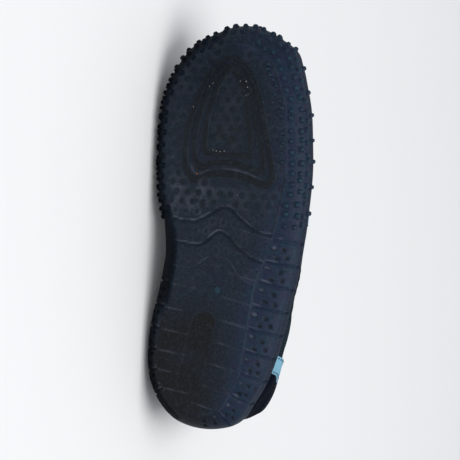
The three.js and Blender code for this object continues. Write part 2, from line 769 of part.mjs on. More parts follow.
// Whether a face of the hull has the centre of mass straight over it, so that the shoe can stand on it.
function carries(face, centre) {
  const foot = centre.clone().addScaledVector(face.normal, face.constant - face.normal.dot(centre));
  return [0, 1, 2].every((k) => {
    const edge = face.getEdge(k);
    const along = edge.head().point.clone().sub(edge.tail().point);
    return along.cross(foot.clone().sub(edge.tail().point)).dot(face.normal) >= 0;
  });
}

// The outward direction of the flat on which the shoe rests when laid on its inner side.
function restingSide(group) {
  const points = group.children.flatMap((piece) => {
    const p = piece.geometry.attributes.position;
    return Array.from({ length: p.count }, (_, i) => new THREE.Vector3().fromBufferAttribute(p, i));
  });
  const hull = new ConvexHull().setFromPoints(points);
  const centre = balance(group);
  const steady = hull.faces.filter((face) => carries(face, centre));
  return steady.reduce((a, b) => (b.normal.x > a.normal.x ? b : a)).normal.clone();
}

// Laid down: that flat on the floor, the toe to -x, the sole facing -y.
const below = restingSide(shoe);
const floorUp = below.clone().negate();
const toHeel = new THREE.Vector3(0, -1, 0);
toHeel.addScaledVector(floorUp, -toHeel.dot(floorUp)).normalize();
const across = floorUp.clone().cross(toHeel);
const lay = new THREE.Matrix4().makeBasis(toHeel, across, floorUp).transpose();
shoe.quaternion.setFromRotationMatrix(lay);
shoe.updateMatrixWorld(true);
const box = new THREE.Box3().setFromObject(shoe, true);
const middle = box.getCenter(new THREE.Vector3());
shoe.position.set(-middle.x, -middle.y, -box.min.z);

const part = new THREE.Group();
part.name = 'water_shoe';
part.add(shoe);

export default part;
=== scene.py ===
# %% [markdown]
# # A left water shoe, lying on its inner side
# The shoe is one moulded rubber cup sole with a hollow fabric upper cemented into it.
# This lesson dresses the solid model of that shoe: every surface is computed from short tables of
# sizes measured along the shoe, so a reader can see which number makes which shape.
# The frame is loaded first, because each piece has to sit exactly where its solid sits.

import bpy
import bmesh
import numpy as np
from mathutils import Matrix, Vector


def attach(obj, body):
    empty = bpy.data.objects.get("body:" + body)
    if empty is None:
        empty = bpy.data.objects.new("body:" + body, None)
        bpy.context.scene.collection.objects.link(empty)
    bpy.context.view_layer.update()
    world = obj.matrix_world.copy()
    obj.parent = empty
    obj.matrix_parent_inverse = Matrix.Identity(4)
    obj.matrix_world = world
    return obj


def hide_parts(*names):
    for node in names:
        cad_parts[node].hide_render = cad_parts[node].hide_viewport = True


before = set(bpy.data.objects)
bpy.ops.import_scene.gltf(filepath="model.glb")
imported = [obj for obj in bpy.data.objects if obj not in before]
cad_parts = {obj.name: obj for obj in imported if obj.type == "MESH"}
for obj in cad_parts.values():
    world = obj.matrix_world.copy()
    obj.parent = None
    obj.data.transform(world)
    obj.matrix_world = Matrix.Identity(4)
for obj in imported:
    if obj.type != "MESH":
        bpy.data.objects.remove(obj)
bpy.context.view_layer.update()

# %% [markdown]
# ## The shoe's own frame
# A shoemaker measures along the last, so the shapes are worked out in millimetres with x to the inner
# side of the foot, y from the heel at 0 to the toe and z up from the tread.
# A rotation and a shift then lay the finished points down on the shoe's inner side.

# %% From the shoe's frame to the floor's
LAID = np.array([
    [-0.033295, -0.999441, -0.002959],
    [-0.088528, 0.0, 0.996074],
    [-0.995517, 0.033426, -0.088478],
])
LAID_AT = np.array([128.536, -32.823, 41.020])


def laid(points):
    """Points in shoe millimetres, turned and shifted into metres over the floor: (R p + s) / 1000."""
    return (np.asarray(points) @ LAID.T + LAID_AT) / 1000.0


# %% [markdown]
# ## Smooth tables
# A last is drawn by hand through a few known sections. The same is done here: each table has the share
# of the length from the toe as its first column, and a smooth curve runs through its rows without
# overshooting them.

# %% Tables and curves through them
def table(names, rows):
    """The columns of a list of rows, by name."""
    return dict(zip(names.split(), np.array(rows, float).T))


def through(xs, ys):
    """A cubic Hermite curve through the rows, each inner slope the harmonic mean of the two steps."""
    step = np.diff(ys) / np.diff(xs)
    a, b = step[:-1], step[1:]
    rising = a * b > 0
    inner = np.where(rising, 2 * a * b / np.where(rising, a + b, 1), 0)
    slope = np.concatenate([step[:1], inner, step[-1:]])

    def at(v):
        v = np.clip(v, xs[0], xs[-1])
        i = np.clip(np.searchsorted(xs, v, side="right") - 1, 0, len(xs) - 2)
        w = xs[i + 1] - xs[i]
        s = (v - xs[i]) / w
        rise = (ys[i + 1] - ys[i]) * s * s * (3 - 2 * s)
        return ys[i] + rise + w * s * (1 - s) * (slope[i] * (1 - s) - slope[i + 1] * s)

    return at


def smooth(low, high, v):
    """0 below low, 1 above high and s * s * (3 - 2 s) between them."""
    s = np.clip((v - low) / (high - low), 0, 1)
    return s * s * (3 - 2 * s)


def band(distance, half, soft):
    """1 inside half of a line and 0 outside it, over a soft edge."""
    return 1 - smooth(half - soft, half + soft, distance)


def unit(v):
    """Vectors divided by their lengths."""
    return v / np.maximum(np.linalg.norm(v, axis=-1, keepdims=True), 1e-9)


def waves(p, size, seed):
    """Smooth random waves of about a size: the mean of eight sines in seeded directions."""
    rng = np.random.default_rng(seed)
    total = 0
    for _ in range(8):
        k = unit(rng.normal(size=p.shape[-1])) * 2 * np.pi / (size * rng.uniform(0.6, 1.7))
        total = total + np.sin(p @ k + rng.uniform(0, 6.3))
    return total / 8


# %% [markdown]
# ## The shape of the sole
# A cup sole is drawn as an outline in plan with a section at every station round it. The first table
# holds the toe spring, the height of the rim and the width of the rounded edge at the inner and the
# outer side. The second holds the middle and the half width of the outline, as shares of the width over
# the ball of the foot. Both are read from the toe backwards.

# %% Sizes of the sole
LENGTH, BALL = 256.0, 100.0
SOLE_FLOOR, ARCH_RISE = 4.5, 2.4
RIM_SET_IN, RIM_WALL, WIDEST_AT, EDGE_ANGLE, SIDE_TURN_AT = 1.0, 2.0, 0.52, 0.45, 0.7
CUP_KNEE, CUP_CORNER, CORNER_SHARE, CORNER_SET, FLOOR_SHARE = 12.5, 7.6, 0.3, 2.6, 0.64
GAP, UPPER_WALL = 0.3, 2.0
SOLE_MIDDLE, UPPER_MIDDLE, HEEL_MIDDLE = (0, 128, 12), (-4, 128, 25), (-4, 60, 25)
SOLE = table("t spring rim edge_in edge_out", [
    [0.0, 11.0, 20.0, 13.0, 13.0],
    [0.05, 8.0, 20.5, 12.5, 13.0],
    [0.1, 5.3, 21.0, 11.5, 12.0],
    [0.2, 2.2, 21.5, 9.5, 10.0],
    [0.35, 1.0, 21.0, 9.0, 10.5],
    [0.5, 1.0, 20.5, 10.0, 14.5],
    [0.65, 0.0, 21.5, 11.0, 19.5],
    [0.8, 0.0, 22.5, 11.0, 16.0],
    [0.91, 0.0, 22.5, 11.0, 11.0],
    [1.0, 2.5, 22.5, 10.5, 10.0],
])
PLAN = table("t centre half", [
    [0.02, -0.06, 0.19], [0.05, -0.058, 0.324], [0.09, -0.048, 0.396], [0.14, -0.042, 0.448],
    [0.2, -0.045, 0.489], [0.27, -0.055, 0.505], [0.35, -0.069, 0.51], [0.43, -0.079, 0.497],
    [0.5, -0.098, 0.469], [0.57, -0.099, 0.452], [0.65, -0.071, 0.443], [0.73, -0.0365, 0.4395],
    [0.81, -0.0055, 0.4235], [0.88, 0.0145, 0.3815], [0.93, 0.021, 0.318], [0.97, 0.011, 0.241],
    [0.99, 0.006, 0.159],
])
spring_at, rim_at = through(SOLE["t"], SOLE["spring"]), through(SOLE["t"], SOLE["rim"])
edge_in_at, edge_out_at = through(SOLE["t"], SOLE["edge_in"]), through(SOLE["t"], SOLE["edge_out"])
centre_at = through(PLAN["t"], PLAN["centre"])
full_at = through(PLAN["t"], PLAN["half"] / np.sqrt(PLAN["t"] * (1 - PLAN["t"])))
print("sole:", LENGTH, "mm long,", BALL, "mm over the ball, rim up to", SOLE["rim"].max(), "mm high")


# %% Outline, tread and side as functions
def share_of(turn):
    """Share of the length from the toe at a turn round the foot: (1 - cos turn) / 2."""
    return (1 - np.cos(turn)) / 2


def plan(turn):
    """The sole's outline: half width times sin turn off the centre line, outer side first."""
    t = share_of(turn)
    return np.stack([BALL * (centre_at(t) - full_at(t) * np.sin(turn) / 2), LENGTH * (1 - t)], -1)


def tread_height(x, y):
    """Toe spring along the length plus the arch's rise under the inner side of the waist."""
    t = np.clip(1 - y / LENGTH, 0, 1)
    waist = smooth(0.44, 0.57, t) * (1 - smooth(0.62, 0.76, t))
    return spring_at(t) + ARCH_RISE * smooth(0.08, 0.42, x / BALL) * waist


def station(turn):
    """Length share, outline point, outward direction, edge width and rim height at each turn."""
    ahead = unit(plan(turn + 0.01) - plan(turn - 0.01))
    out = np.stack([ahead[..., 1], -ahead[..., 0]], -1)
    t = share_of(turn)
    edge = np.where(np.sin(turn) >= 0, edge_out_at(t), edge_in_at(t))
    return {"t": t, "p": plan(turn), "out": out, "edge": edge, "rim": rim_at(t)}


def placed(s, inset, rise):
    """The outline point moved in by inset along its normal and lifted by rise over the tread."""
    x = s["p"][..., 0] - s["out"][..., 0] * inset
    y = s["p"][..., 1] - s["out"][..., 1] * inset
    return np.stack([x, y, tread_height(x, y) + rise], -1)


def side_point(s, u):
    """The sole's side: part of an ellipse from the tread's edge at u 0 to the widest line, then the rim."""
    widest = s["rim"] * WIDEST_AT
    q = EDGE_ANGLE + (np.pi / 2 - EDGE_ANGLE) * np.minimum(u, SIDE_TURN_AT) / SIDE_TURN_AT
    inset = s["edge"] * (1 - np.sin(q)) / (1 - np.sin(EDGE_ANGLE))
    rise = widest * (np.cos(EDGE_ANGLE) - np.cos(q)) / np.cos(EDGE_ANGLE)
    w = np.maximum(u - SIDE_TURN_AT, 0) / (1 - SIDE_TURN_AT)
    return placed(s, inset + RIM_SET_IN * w * w, rise + (s["rim"] - widest) * w)


# %% [markdown]
# ## Mesh helpers
# Every surface is a grid of points. The helpers turn a grid into a mesh with its faces outward, with
# texture coordinates in millimetres and with the named values that its material reads.

# %% Grids into meshes
def quads_of(rows, cols, closed):
    """Corner numbers of the quads of a grid; a closed grid joins its last column to its first."""
    i = np.arange(cols if closed else cols - 1)
    r = np.arange(rows - 1)[:, None]
    j = (i + 1) % cols
    return np.stack([r * cols + i, r * cols + j, (r + 1) * cols + j, (r + 1) * cols + i], -1).reshape(-1, 4)


def normals_of(grid, closed):
    """Unit normals of a grid: the cross product of its two central differences."""
    across = np.roll(grid, -1, 1) - np.roll(grid, 1, 1) if closed else np.gradient(grid, axis=1)
    return unit(np.cross(across, np.gradient(grid, axis=0)))


def make(name, points, faces, inside, uv=None, values=None, weld=1e-7):
    """A smooth mesh from points in shoe millimetres, its faces turned away from the point inside."""
    points = np.asarray(points, float).reshape(-1, 3)
    a, b, c, d = (points[faces[:, k]] for k in range(4))
    away = np.sum(np.cross(c - a, d - b) * ((a + b + c + d) / 4 - np.asarray(inside)), -1)
    if away.sum() < 0:
        faces = faces[:, ::-1]
    mesh = bpy.data.meshes.new(name)
    mesh.from_pydata(laid(points), [], faces)
    if uv is not None:
        corner = np.empty(len(mesh.loops), int)
        mesh.loops.foreach_get("vertex_index", corner)
        layer = mesh.uv_layers.new(name="UVMap")
        layer.data.foreach_set("uv", uv.reshape(-1, 2)[corner].ravel())
    for key, value in (values or {}).items():
        layer = mesh.attributes.new(key, "FLOAT", "POINT")
        layer.data.foreach_set("value", np.asarray(value, float).ravel())
    if weld:
        work = bmesh.new()
        work.from_mesh(mesh)
        bmesh.ops.remove_doubles(work, verts=work.verts, dist=weld)
        work.to_mesh(mesh)
        work.free()
    mesh.shade_smooth()
    piece = bpy.data.objects.new(name, mesh)
    bpy.context.collection.objects.link(piece)
    print(f"{name}: {len(mesh.vertices)} points, {len(mesh.polygons)} faces")
    return piece


def copies(name, shape, faces, centres, axes, inside, values=None):
    """Many copies of one small shape in one mesh: each point is its centre plus the shape along its axes."""
    points = over_floor(np.einsum("nik,pi->npk", axes, shape) + centres[:, None, :], 0.05)
    many = (faces[None] + (np.arange(len(centres)) * len(shape))[:, None, None]).reshape(-1, faces.shape[1])
    values = {key: np.broadcast_to(value, points.shape[:2]) for key, value in (values or {}).items()}
    return make(name, points, many, inside, values=values, weld=0)


def over_floor(p, clear):
    """Presses points that would pass through the floor flat against it."""
    height = p @ LAID[2] + LAID_AT[2]
    low = np.maximum(clear - height, 0)
    return p + low[..., None] * LAID[2]


def finish_piece(piece, material, slot, *nodes):
    """Gives a piece its material and its body, and hides the solids that it stands for. The slot is not used.
    """
    piece.data.materials.append(material)
    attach(piece, "root")
    if nodes:
        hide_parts(*nodes)


def from_line(x, y, line, closed):
    """Distance from each point to a line of straight steps, the least over its steps."""
    ends = np.roll(line, -1, 0) if closed else line[1:]
    best = np.full(x.shape, 1e9)
    for (ax, ay), (bx, by) in zip(line, ends):
        dx, dy = bx - ax, by - ay
        s = np.clip(((x - ax) * dx + (y - ay) * dy) / (dx * dx + dy * dy), 0, 1)
        best = np.minimum(best, np.hypot(x - ax - s * dx, y - ay - s * dy))
    return best


def rounded(points, count, closed):
    """A smooth line through a few points: Catmull-Rom, evaluated at equal steps of the parameter."""
    points = np.asarray(points, float)
    n = len(points)
    s = np.linspace(0, n if closed else n - 1, count, endpoint=not closed)
    i = np.minimum(s.astype(int), n - 1 if closed else n - 2)
    f = (s - i)[:, None]
    if closed:
        p0, p1, p2, p3 = (points[(i + k) % n] for k in (-1, 0, 1, 2))
    else:
        p0, p1, p2, p3 = (points[np.clip(i + k, 0, n - 1)] for k in (-1, 0, 1, 2))
    return 0.5 * (2 * p1 + (p2 - p0) * f + (2 * p0 - 5 * p1 + 4 * p2 - p3) * f**2
                  + (3 * p1 - p0 - 3 * p2 + p3) * f**3)


# %% [markdown]
# ## The tread's pattern
# The mould of a real sole is cut with ribs, studs and grooves. Here each of them is a line or a spot in
# plan with a width and a height, and a small function of its own adds it to the height of the tread.
# The same functions say where the rubber is dark, where dust is caught and where highlights are painted, so
# pattern and colour can't drift apart, and each form can be read and changed by itself.

# %% Ribs, grooves, studs and marks in plan
ARROW = np.array([
    [0.084, -0.036], [0.122, -0.166], [0.183, -0.25], [0.246, -0.3], [0.314, -0.352], [0.37, -0.385],
    [0.392, -0.345], [0.378, -0.215], [0.37, -0.08], [0.376, 0.06], [0.39, 0.145], [0.366, 0.2],
    [0.33, 0.215], [0.263, 0.214], [0.195, 0.168], [0.122, 0.094],
])
ARROW_CENTRE = np.array([0.2024, -0.06])
RIBS = [(1.0, 1.0, 3.2), (0.83, 0.79, 3.2), (0.73, 0.54, 2.8)]
FLAT_BASE = 0.323
WAVES = [
    [[0.479, 0.36], [0.492, 0.132], [0.452, -0.074], [0.4745, -0.174], [0.506, -0.3], [0.513, -0.4],
     [0.522, -0.5]],
    [[0.54, 0.36], [0.546, 0.2], [0.5475, 0.07], [0.519, -0.02], [0.513, -0.055], [0.5215, -0.105],
     [0.561, -0.229], [0.582, -0.37]],
    [[0.602, 0.34], [0.608, 0.12], [0.58, 0.0], [0.584, -0.116], [0.626, -0.219], [0.64, -0.31]],
]
WAVE_DEPTHS = [1.0, 0.9, 0.35]
SLOT, SLOT_WIDE, SLOT_LONG, SLOT_LEAN = (0.81, 0.045), 15.0, 50.0, 0.2
GATE = (0.655, -0.071)
BLOTS = [(0.274, -0.01), (0.257, -0.116), (0.29, -0.082)]
STUD_PITCH, STUD_HIGH, RIB_HIGH, GROOVE_DEEP = 7.4, 0.85, 0.9, 1.2
SIPE_TURNS = np.arccos(1 - 2 * (0.528 + 0.057 * np.arange(9)))
SIPES = np.concatenate([SIPE_TURNS, 2 * np.pi - SIPE_TURNS[2:8]])


def in_plan(rows):
    """Rows of length share and width share as plan points in millimetres."""
    rows = np.asarray(rows, float)
    return np.stack([rows[:, 1] * BALL, LENGTH * (1 - rows[:, 0])], -1)


def arrow(scale_t, scale_x):
    """The arrowhead's line, scaled about its centre along and across. The inner one has a flat base."""
    line = rounded(ARROW_CENTRE + (ARROW - ARROW_CENTRE) * [scale_t, scale_x], 160, True)
    if scale_t < 0.8:
        line[:, 0] = np.minimum(line[:, 0], FLAT_BASE)
    return in_plan(line)


def studs():
    """Centres and radii of the round studs: staggered rows, left out on ribs, grooves and marks."""
    rows, cols = np.meshgrid(np.arange(-2, 40), np.arange(-9, 10), indexing="ij")
    x = (cols + 0.5 * (rows % 2)) * STUD_PITCH - 4.0
    y = LENGTH * 0.95 - rows * STUD_PITCH * 0.8
    x, y = x.ravel(), y.ravel()
    x = x + 0.5 * waves(np.stack([x, y], -1), 9.0, 3)
    t = 1 - y / LENGTH
    half = BALL / 2 * np.interp(t, [0.05, 0.12, 0.25, 0.45, 0.7], [0.4, 0.68, 0.82, 0.76, 0.6])
    inside_arrow = (from_line(x, y, arrow(0.35, 0.3), True) < 12) & (t < 0.33) & (t > 0.12)
    keep = (np.abs(x - BALL * centre_at(t)) < half) & (t > 0.06) & (t < 0.66)
    ribs = np.min([from_line(x, y, arrow(a, b), True) for a, b, _ in RIBS], 0)
    keep &= (from_line(x, y, arrow(1, 1), True) > 4.4) | inside_arrow
    keep &= ribs > 4.0
    keep &= (t > 0.4) | (np.hypot((t - 0.24) / 0.17, (x / BALL + 0.068) / 0.29) > 1) | inside_arrow
    keep &= np.min([from_line(x, y, in_plan(rounded(w, 60, False)), False) for w in WAVES], 0) > 2.9
    keep &= np.hypot(x - GATE[1] * BALL, y - LENGTH * (1 - GATE[0])) > 7
    radius = np.where(t < 0.45, 1.95, 1.4)
    return x[keep], y[keep], radius[keep]


# %% Ribs and studs
def more(marks, key, value):
    """Keeps the larger of a mark and a new value at each point."""
    marks[key] = np.maximum(marks[key], value)


def add_ribs(marks, x, y, t):
    """Flat topped ribs, darkest at their edges, with pale lines beside them and in the gap at their base,
    partly dusty and partly painted highlight.
    """
    for scale_t, scale_x, width in RIBS:
        d = from_line(x, y, arrow(scale_t, scale_x), True)
        wide = width / 2 + 0.5 * smooth(0.33, 0.37, t)
        raised = band(d, wide, 0.4)
        more(marks, "height", RIB_HIGH * raised)
        dark = 0.62 + 0.38 * np.maximum(smooth(wide - 1.1, wide - 0.3, d), smooth(0.31, 0.335, t))
        more(marks, "rib", raised * dark)
        more(marks, "dust_and_highlight", 0.16 * band(np.abs(d - wide - 0.4), 0.35, 0.35))
    between = from_line(x, y, arrow(0.925, 0.9), True)
    more(marks, "dust_and_highlight", 1.1 * band(between, 0.45, 0.3) * smooth(0.345, 0.362, t))


def add_studs(marks, x, y, t):
    """Half balls, sqrt(1 - d * d) high at d radii from their middle, dustiest behind the arrowhead."""
    dusty = 0.25 + 0.75 * np.exp(-(((t - 0.43) / 0.06) ** 2 + ((x / BALL - 0.16) / 0.26) ** 2))
    nearest = np.full(x.shape, 9.0)
    for stud_x, stud_y, radius in zip(*studs()):
        nearest = np.minimum(nearest, np.hypot(x - stud_x, y - stud_y) / radius)
    marks["height"] += STUD_HIGH * np.sqrt(np.clip(1 - nearest**2, 0, 1))
    more(marks, "dust_and_highlight", 0.7 * dusty * smooth(0.9, 1.25, nearest) * (1 - smooth(1.7, 2.7, nearest)))
    marks["stud"] = (0.3 + 0.7 * dusty) * band(nearest, 0.85, 0.25)


# %% Grooves, slot and mould gate
def add_waves(marks, x, y):
    """Grooves across the waist, each with a thin pale lip along its side towards the toe, partly dusty and
    partly painted highlight.
    """
    for rows, depth in zip(WAVES, WAVE_DEPTHS):
        line = in_plan(rounded(rows, 90, False))
        d = from_line(x, y, line, False)
        toeward = y - np.interp(-x, -line[:, 0], line[:, 1])
        lip = depth * band(np.abs(d - 1.2), 0.38, 0.3) * (toeward > 0)
        marks["height"] += -GROOVE_DEEP * depth * band(d, 0.85, 0.45) + 0.35 * lip
        more(marks, "dust_and_highlight", 1.9 * lip)


def add_slot(marks, x, y):
    """The leaning slot of the heel: the distance from a line of its length, less half its width."""
    slot_x, slot_y = SLOT[1] * BALL, LENGTH * (1 - SLOT[0])
    leaning = x - slot_x + SLOT_LEAN * (y - slot_y)
    past_end = np.maximum(np.abs(y - slot_y) - SLOT_LONG / 2 + SLOT_WIDE / 2, 0)
    d = np.hypot(leaning, past_end) - SLOT_WIDE / 2
    marks["height"] += -0.6 * band(d, 0.0, 0.6) + 0.12 * band(np.abs(d - 1.1), 0.5, 0.5)
    more(marks, "dust_and_highlight", 0.1 * band(np.abs(d - 0.9), 0.4, 0.3))
    marks["slot"] = band(d, 0.0, 1.0)


def add_gate(marks, x, y):
    """The round mark of the mould's gate: a ring groove round a low disc."""
    d = np.hypot(x - GATE[1] * BALL, y - LENGTH * (1 - GATE[0]))
    marks["height"] += -0.5 * band(np.abs(d - 2.65), 0.5, 0.3) + 0.2 * band(d, 1.5, 0.4)
    marks["teal_mark_and_glint"] = band(d, 2.4, 0.7)


def add_sipes(marks, x, y):
    """Thin dusty grooves from the edge of the heel and waist inwards, dying out after 26 mm."""
    start = side_point(station(SIPES), 0.0)
    for k in range(len(SIPES)):
        across = np.array([-26.0, -3.0]) if SIPES[k] > np.pi else np.array([24.0, 5.0])
        d = from_line(x, y, np.array([start[k, :2], start[k, :2] + across]), False)
        fading = 1 - smooth(0.45, 1.0, np.abs(x - start[k, 0]) / 26.0)
        marks["height"] += -0.4 * band(d, 0.5, 0.35) * fading
        more(marks, "dust_and_highlight", 0.62 * band(d, 0.55, 0.35) * fading)


# %% The whole pattern
def tread_relief(x, y):
    """Height of the pattern towards the ground, how worn, dusty and dark each point is, and where the teal
    mark and painted teal glint lie; the pale lines are partly painted highlight.
    """
    t = 1 - y / LENGTH
    marks = {key: np.zeros_like(x) for key in ("height", "rib", "dust_and_highlight")}
    add_ribs(marks, x, y, t)
    add_studs(marks, x, y, t)
    add_waves(marks, x, y)
    add_slot(marks, x, y)
    add_gate(marks, x, y)
    for blot_t, blot_x in BLOTS:
        more(marks, "rib", 0.7 * band(np.hypot(x - blot_x * BALL, y - LENGTH * (1 - blot_t)), 2.6, 1.6))
    add_sipes(marks, x, y)
    height = marks["height"] + 0.12 * waves(np.stack([x, y], -1), 16.0, 8)
    heel = np.exp(-(((t - 0.86) / 0.16) ** 4 + ((x / BALL - 0.24) / 0.36) ** 4))
    ball = np.exp(-(((t - 0.24) / 0.17) ** 2 + ((x / BALL + 0.07) / 0.3) ** 2))
    wear = np.clip(0.5 * marks["rib"] + 1.1 * heel + 0.3 * ball + marks["slot"], 0, 1)
    return height, {"wear": wear, "dust_and_highlight": marks["dust_and_highlight"], "rib": np.maximum(marks["rib"], marks["stud"]),
                    "teal_mark_and_glint": marks["teal_mark_and_glint"]}


# %% [markdown]
# ## The tread
# The tread is one sheet of rubber, so it is one grid from the toe to the heel. Each row runs from the
# edge of the inner side to the edge of the outer side. The pattern pushes its points
# straight down. Rows are laid at equal steps round the outline, so the ribs are equally sharp all over.

# %% Lay the tread's grid
TREAD_ROWS, TREAD_COLS = 411, 150


def walked(path):
    """Distance along a path of points: the running sum of its steps, from 0."""
    return np.concatenate([[0], np.cumsum(np.linalg.norm(np.diff(path, axis=0), axis=1))])


fine = np.linspace(0, np.pi, 2401)
arc = walked(plan(fine))
HALF_TURNS = np.interp(np.linspace(0, arc[-1], TREAD_ROWS), arc, fine)
outer_edge = side_point(station(HALF_TURNS), 0.0)[:, None, :2]
inner_edge = side_point(station(2 * np.pi - HALF_TURNS), 0.0)[:, None, :2]
w = np.linspace(0, 1, TREAD_COLS)[None, :, None]
plan_xy = inner_edge * (1 - w) + outer_edge * w
x, y = plan_xy[..., 0], plan_xy[..., 1]
to_outer = np.linalg.norm(plan_xy - outer_edge, axis=-1)
to_inner = np.linalg.norm(plan_xy - inner_edge, axis=-1)
print("tread: rows every", round(arc[-1] / (TREAD_ROWS - 1), 2), "mm round the outline")

# %% Build the tread
height, marks = tread_relief(x, y)
height *= smooth(0.0, 1.2, np.minimum(to_inner, to_outer))
t = 1 - y / LENGTH
# A pale line along the tread's outer edge: dust and a painted highlight.
more(marks, "dust_and_highlight", 0.25 * band(to_outer, 0.7, 0.4))
marks["trodden_and_shade"] = smooth(1.0, 13.0, to_outer) * (1 - marks["teal_mark_and_glint"])
# Painted highlight: a teal glint along the tread's outer edge from the waist back.
more(marks, "teal_mark_and_glint", 0.8 * band(to_outer, 0.6, 0.5) * smooth(0.55, 0.62, t))
# Painted shade: a thin dark line just inside the tread's outer edge, over two stretches of its length.
edge_crease_shade = (smooth(0.08, 0.11, t) * (1 - smooth(0.18, 0.21, t))
             + smooth(0.35, 0.37, t) * (1 - smooth(0.48, 0.52, t)))
more(marks, "rib", 1.3 * band(np.abs(to_outer - 0.8), 0.35, 0.3) * edge_crease_shade)
waist = smooth(0.46, 0.56, t) * (1 - smooth(0.66, 0.74, t))
# Painted shade: a dark strip along the inner edge of the waist, and the rubber darker towards the inner side
# of the toe.
marks["shade"] = 0.6 * waist * (1 - smooth(0.5, 3.0, to_inner))
marks["shade"] += (0.12 + 0.13 * smooth(-15, 15, x)) * (1 - smooth(0.05, 0.32, t))
tread_points = np.stack([x, y, tread_height(x, y) - height], -1)
tread = make("sole_tread", tread_points, quads_of(TREAD_ROWS, TREAD_COLS, False), SOLE_MIDDLE,
             np.stack([x, y], -1) / 100, marks, weld=1e-6)

# %% [markdown]
# ## Sand in the tread
# A worn tread keeps a little sand. The grains that show in the picture are listed one by one: pale ones
# along two of the ribs, and one orange one at a corner.

# %% Scatter the sand
GRAINS = table("t x size orange", [
    [0.316, 0.008, 0.42, 0], [0.317, -0.019, 0.36, 0], [0.315, -0.046, 0.42, 0], [0.314, 0.03, 0.3, 0],
    [0.142, -0.153, 0.42, 0], [0.156, -0.166, 0.36, 0], [0.173, -0.173, 0.3, 0], [0.177, -0.164, 0.3, 0],
    [0.142, -0.113, 0.3, 0.1], [0.15, 0.07, 0.3, 0.1], [0.158, 0.092, 0.3, 0], [0.211, 0.188, 0.36, 0.3],
    [0.374, 0.127, 0.55, 1],
])
grain_rings = [(0.0, -0.8), (0.7, -0.5), (1.0, 0.0), (0.75, 0.55), (0.0, 0.85)]
grain = np.array([[r * np.cos(a), r * np.sin(a), h]
                  for r, h in grain_rings for a in np.arange(6) * np.pi / 3])
x, y = BALL * GRAINS["x"], LENGTH * (1 - GRAINS["t"])
grain_at = np.stack([x, y, tread_height(x, y) - tread_relief(x, y)[0] - 0.1], -1)
turned = unit(np.random.default_rng(2).normal(size=(len(x), 3, 3)))
turned[:, 2] = unit(np.cross(turned[:, 0], turned[:, 1]))
turned[:, 1] = np.cross(turned[:, 2], turned[:, 0])
sand = copies("sand_grains", grain, quads_of(len(grain_rings), 6, True), grain_at,
              turned * GRAINS["size"][:, None, None], SOLE_MIDDLE, {"orange": GRAINS["orange"][:, None]})

# %% [markdown]
# ## The side of the sole
# The side rises from the tread's edge round the widest line to a thin rim, and comes down again inside
# as the wall of the cup. Grooves cross it over the heel and waist, with small pits between them, and
# the front half carries rows of pointed nubs. It is one grid of stations by heights, and the grooves and
# pits push its points in along their normals.

# %% Lay the side's grid
SIDE_ROWS = 58
TURNS = np.concatenate([HALF_TURNS, (2 * np.pi - HALF_TURNS)[-2:0:-1]])
ring = station(TURNS)
u = np.linspace(0, 1, SIDE_ROWS)[:, None]
side = side_point(ring, u)
out = normals_of(side, True)
out *= np.sign(np.sum(out[20] * np.concatenate([ring["out"], np.zeros((len(TURNS), 1))], 1)))
round_arc = walked(side[30])
lift, pit_shade, side_dust_and_highlight = (np.zeros(side.shape[:2]) for _ in range(3))
print("side:", round(round_arc[-1]), "mm round,", SIDE_ROWS, "rows")

# %% Grooves across the side
for turn in SIPES:
    at = np.interp(turn, TURNS, round_arc)
    lift -= 1.1 * band(np.abs(round_arc - at)[None, :], 0.75, 0.4) * (1 - smooth(0.88, 0.96, u))
    toeward = (at - round_arc)[None, :] * (1 if turn < np.pi else -1)
    lift -= 0.45 * band(np.abs(toeward - 2.9), 0.35, 0.3) * band(np.abs(u - 0.1), 0.1, 0.05)
    # A pale dash beside each groove, low on the side: dust with a painted highlight on the lit wall.
    dust_and_highlight_dash = 1.5 * band(np.abs(toeward - 1.6), 0.55, 0.3) * band(np.abs(u - 0.1), 0.08, 0.05)
    side_dust_and_highlight = np.maximum(side_dust_and_highlight, dust_and_highlight_dash)

# %% Pits between the grooves
# Each pit is a share of the way from one groove to the next, and a share of the height. The low ones
# have filled with dust and keep only a crescent of painted shadow on one side. The open ones are painted dark
# inside as painted shade, with a painted highlight on the rim at their other side.
PITS = [(0.28, 0.09), (0.36, 0.27), (0.74, 0.17), (0.7, 0.36), (0.32, 0.55), (0.66, 0.07)]
PIT_RADIUS, SIDE_TALL = 1.45, 26.0
outer_gaps = list(zip(SIPE_TURNS[:-1], SIPE_TURNS[1:])) + [(SIPE_TURNS[-1], SIPE_TURNS[-1] + 0.28)]
inner_gaps = [(2 * np.pi - b, 2 * np.pi - a) for a, b in zip(SIPE_TURNS[2:7], SIPE_TURNS[3:8])]
rng = np.random.default_rng(5)
for a, b in outer_gaps + inner_gaps:
    for share, level in PITS[: 4 + (rng.random() < 0.4)]:
        turn = a + (b - a) * (share + rng.uniform(-0.05, 0.05))
        level = level + rng.uniform(-0.02, 0.02)
        across = (round_arc - np.interp(turn, TURNS, round_arc))[None, :]
        near = np.hypot(across, (u - level) * SIDE_TALL) / PIT_RADIUS
        filled = level < 0.13
        lift -= (0.5 if filled else 1.1) * (1 - smooth(0.55, 1.15, near))
        shadow_crescent = band(np.abs(near - 0.95), 0.22, 0.18) * smooth(-0.3, 0.6, across / PIT_RADIUS)
        pit_shade = np.maximum(pit_shade, 1.2 * shadow_crescent if filled else 1.1 * (1 - smooth(0.6, 1.05, near)))
        lit = band(np.abs(near - 0.8), 0.2, 0.2) * smooth(0.0, -0.8, across / PIT_RADIUS)
        side_dust_and_highlight = np.maximum(side_dust_and_highlight, 1.5 * (1 - smooth(0.45, 0.8, near)) if filled else 0.7 * lit)
lift += 0.08 * waves(side, 14.0, 11)
lift *= smooth(0.0, 0.03, u)
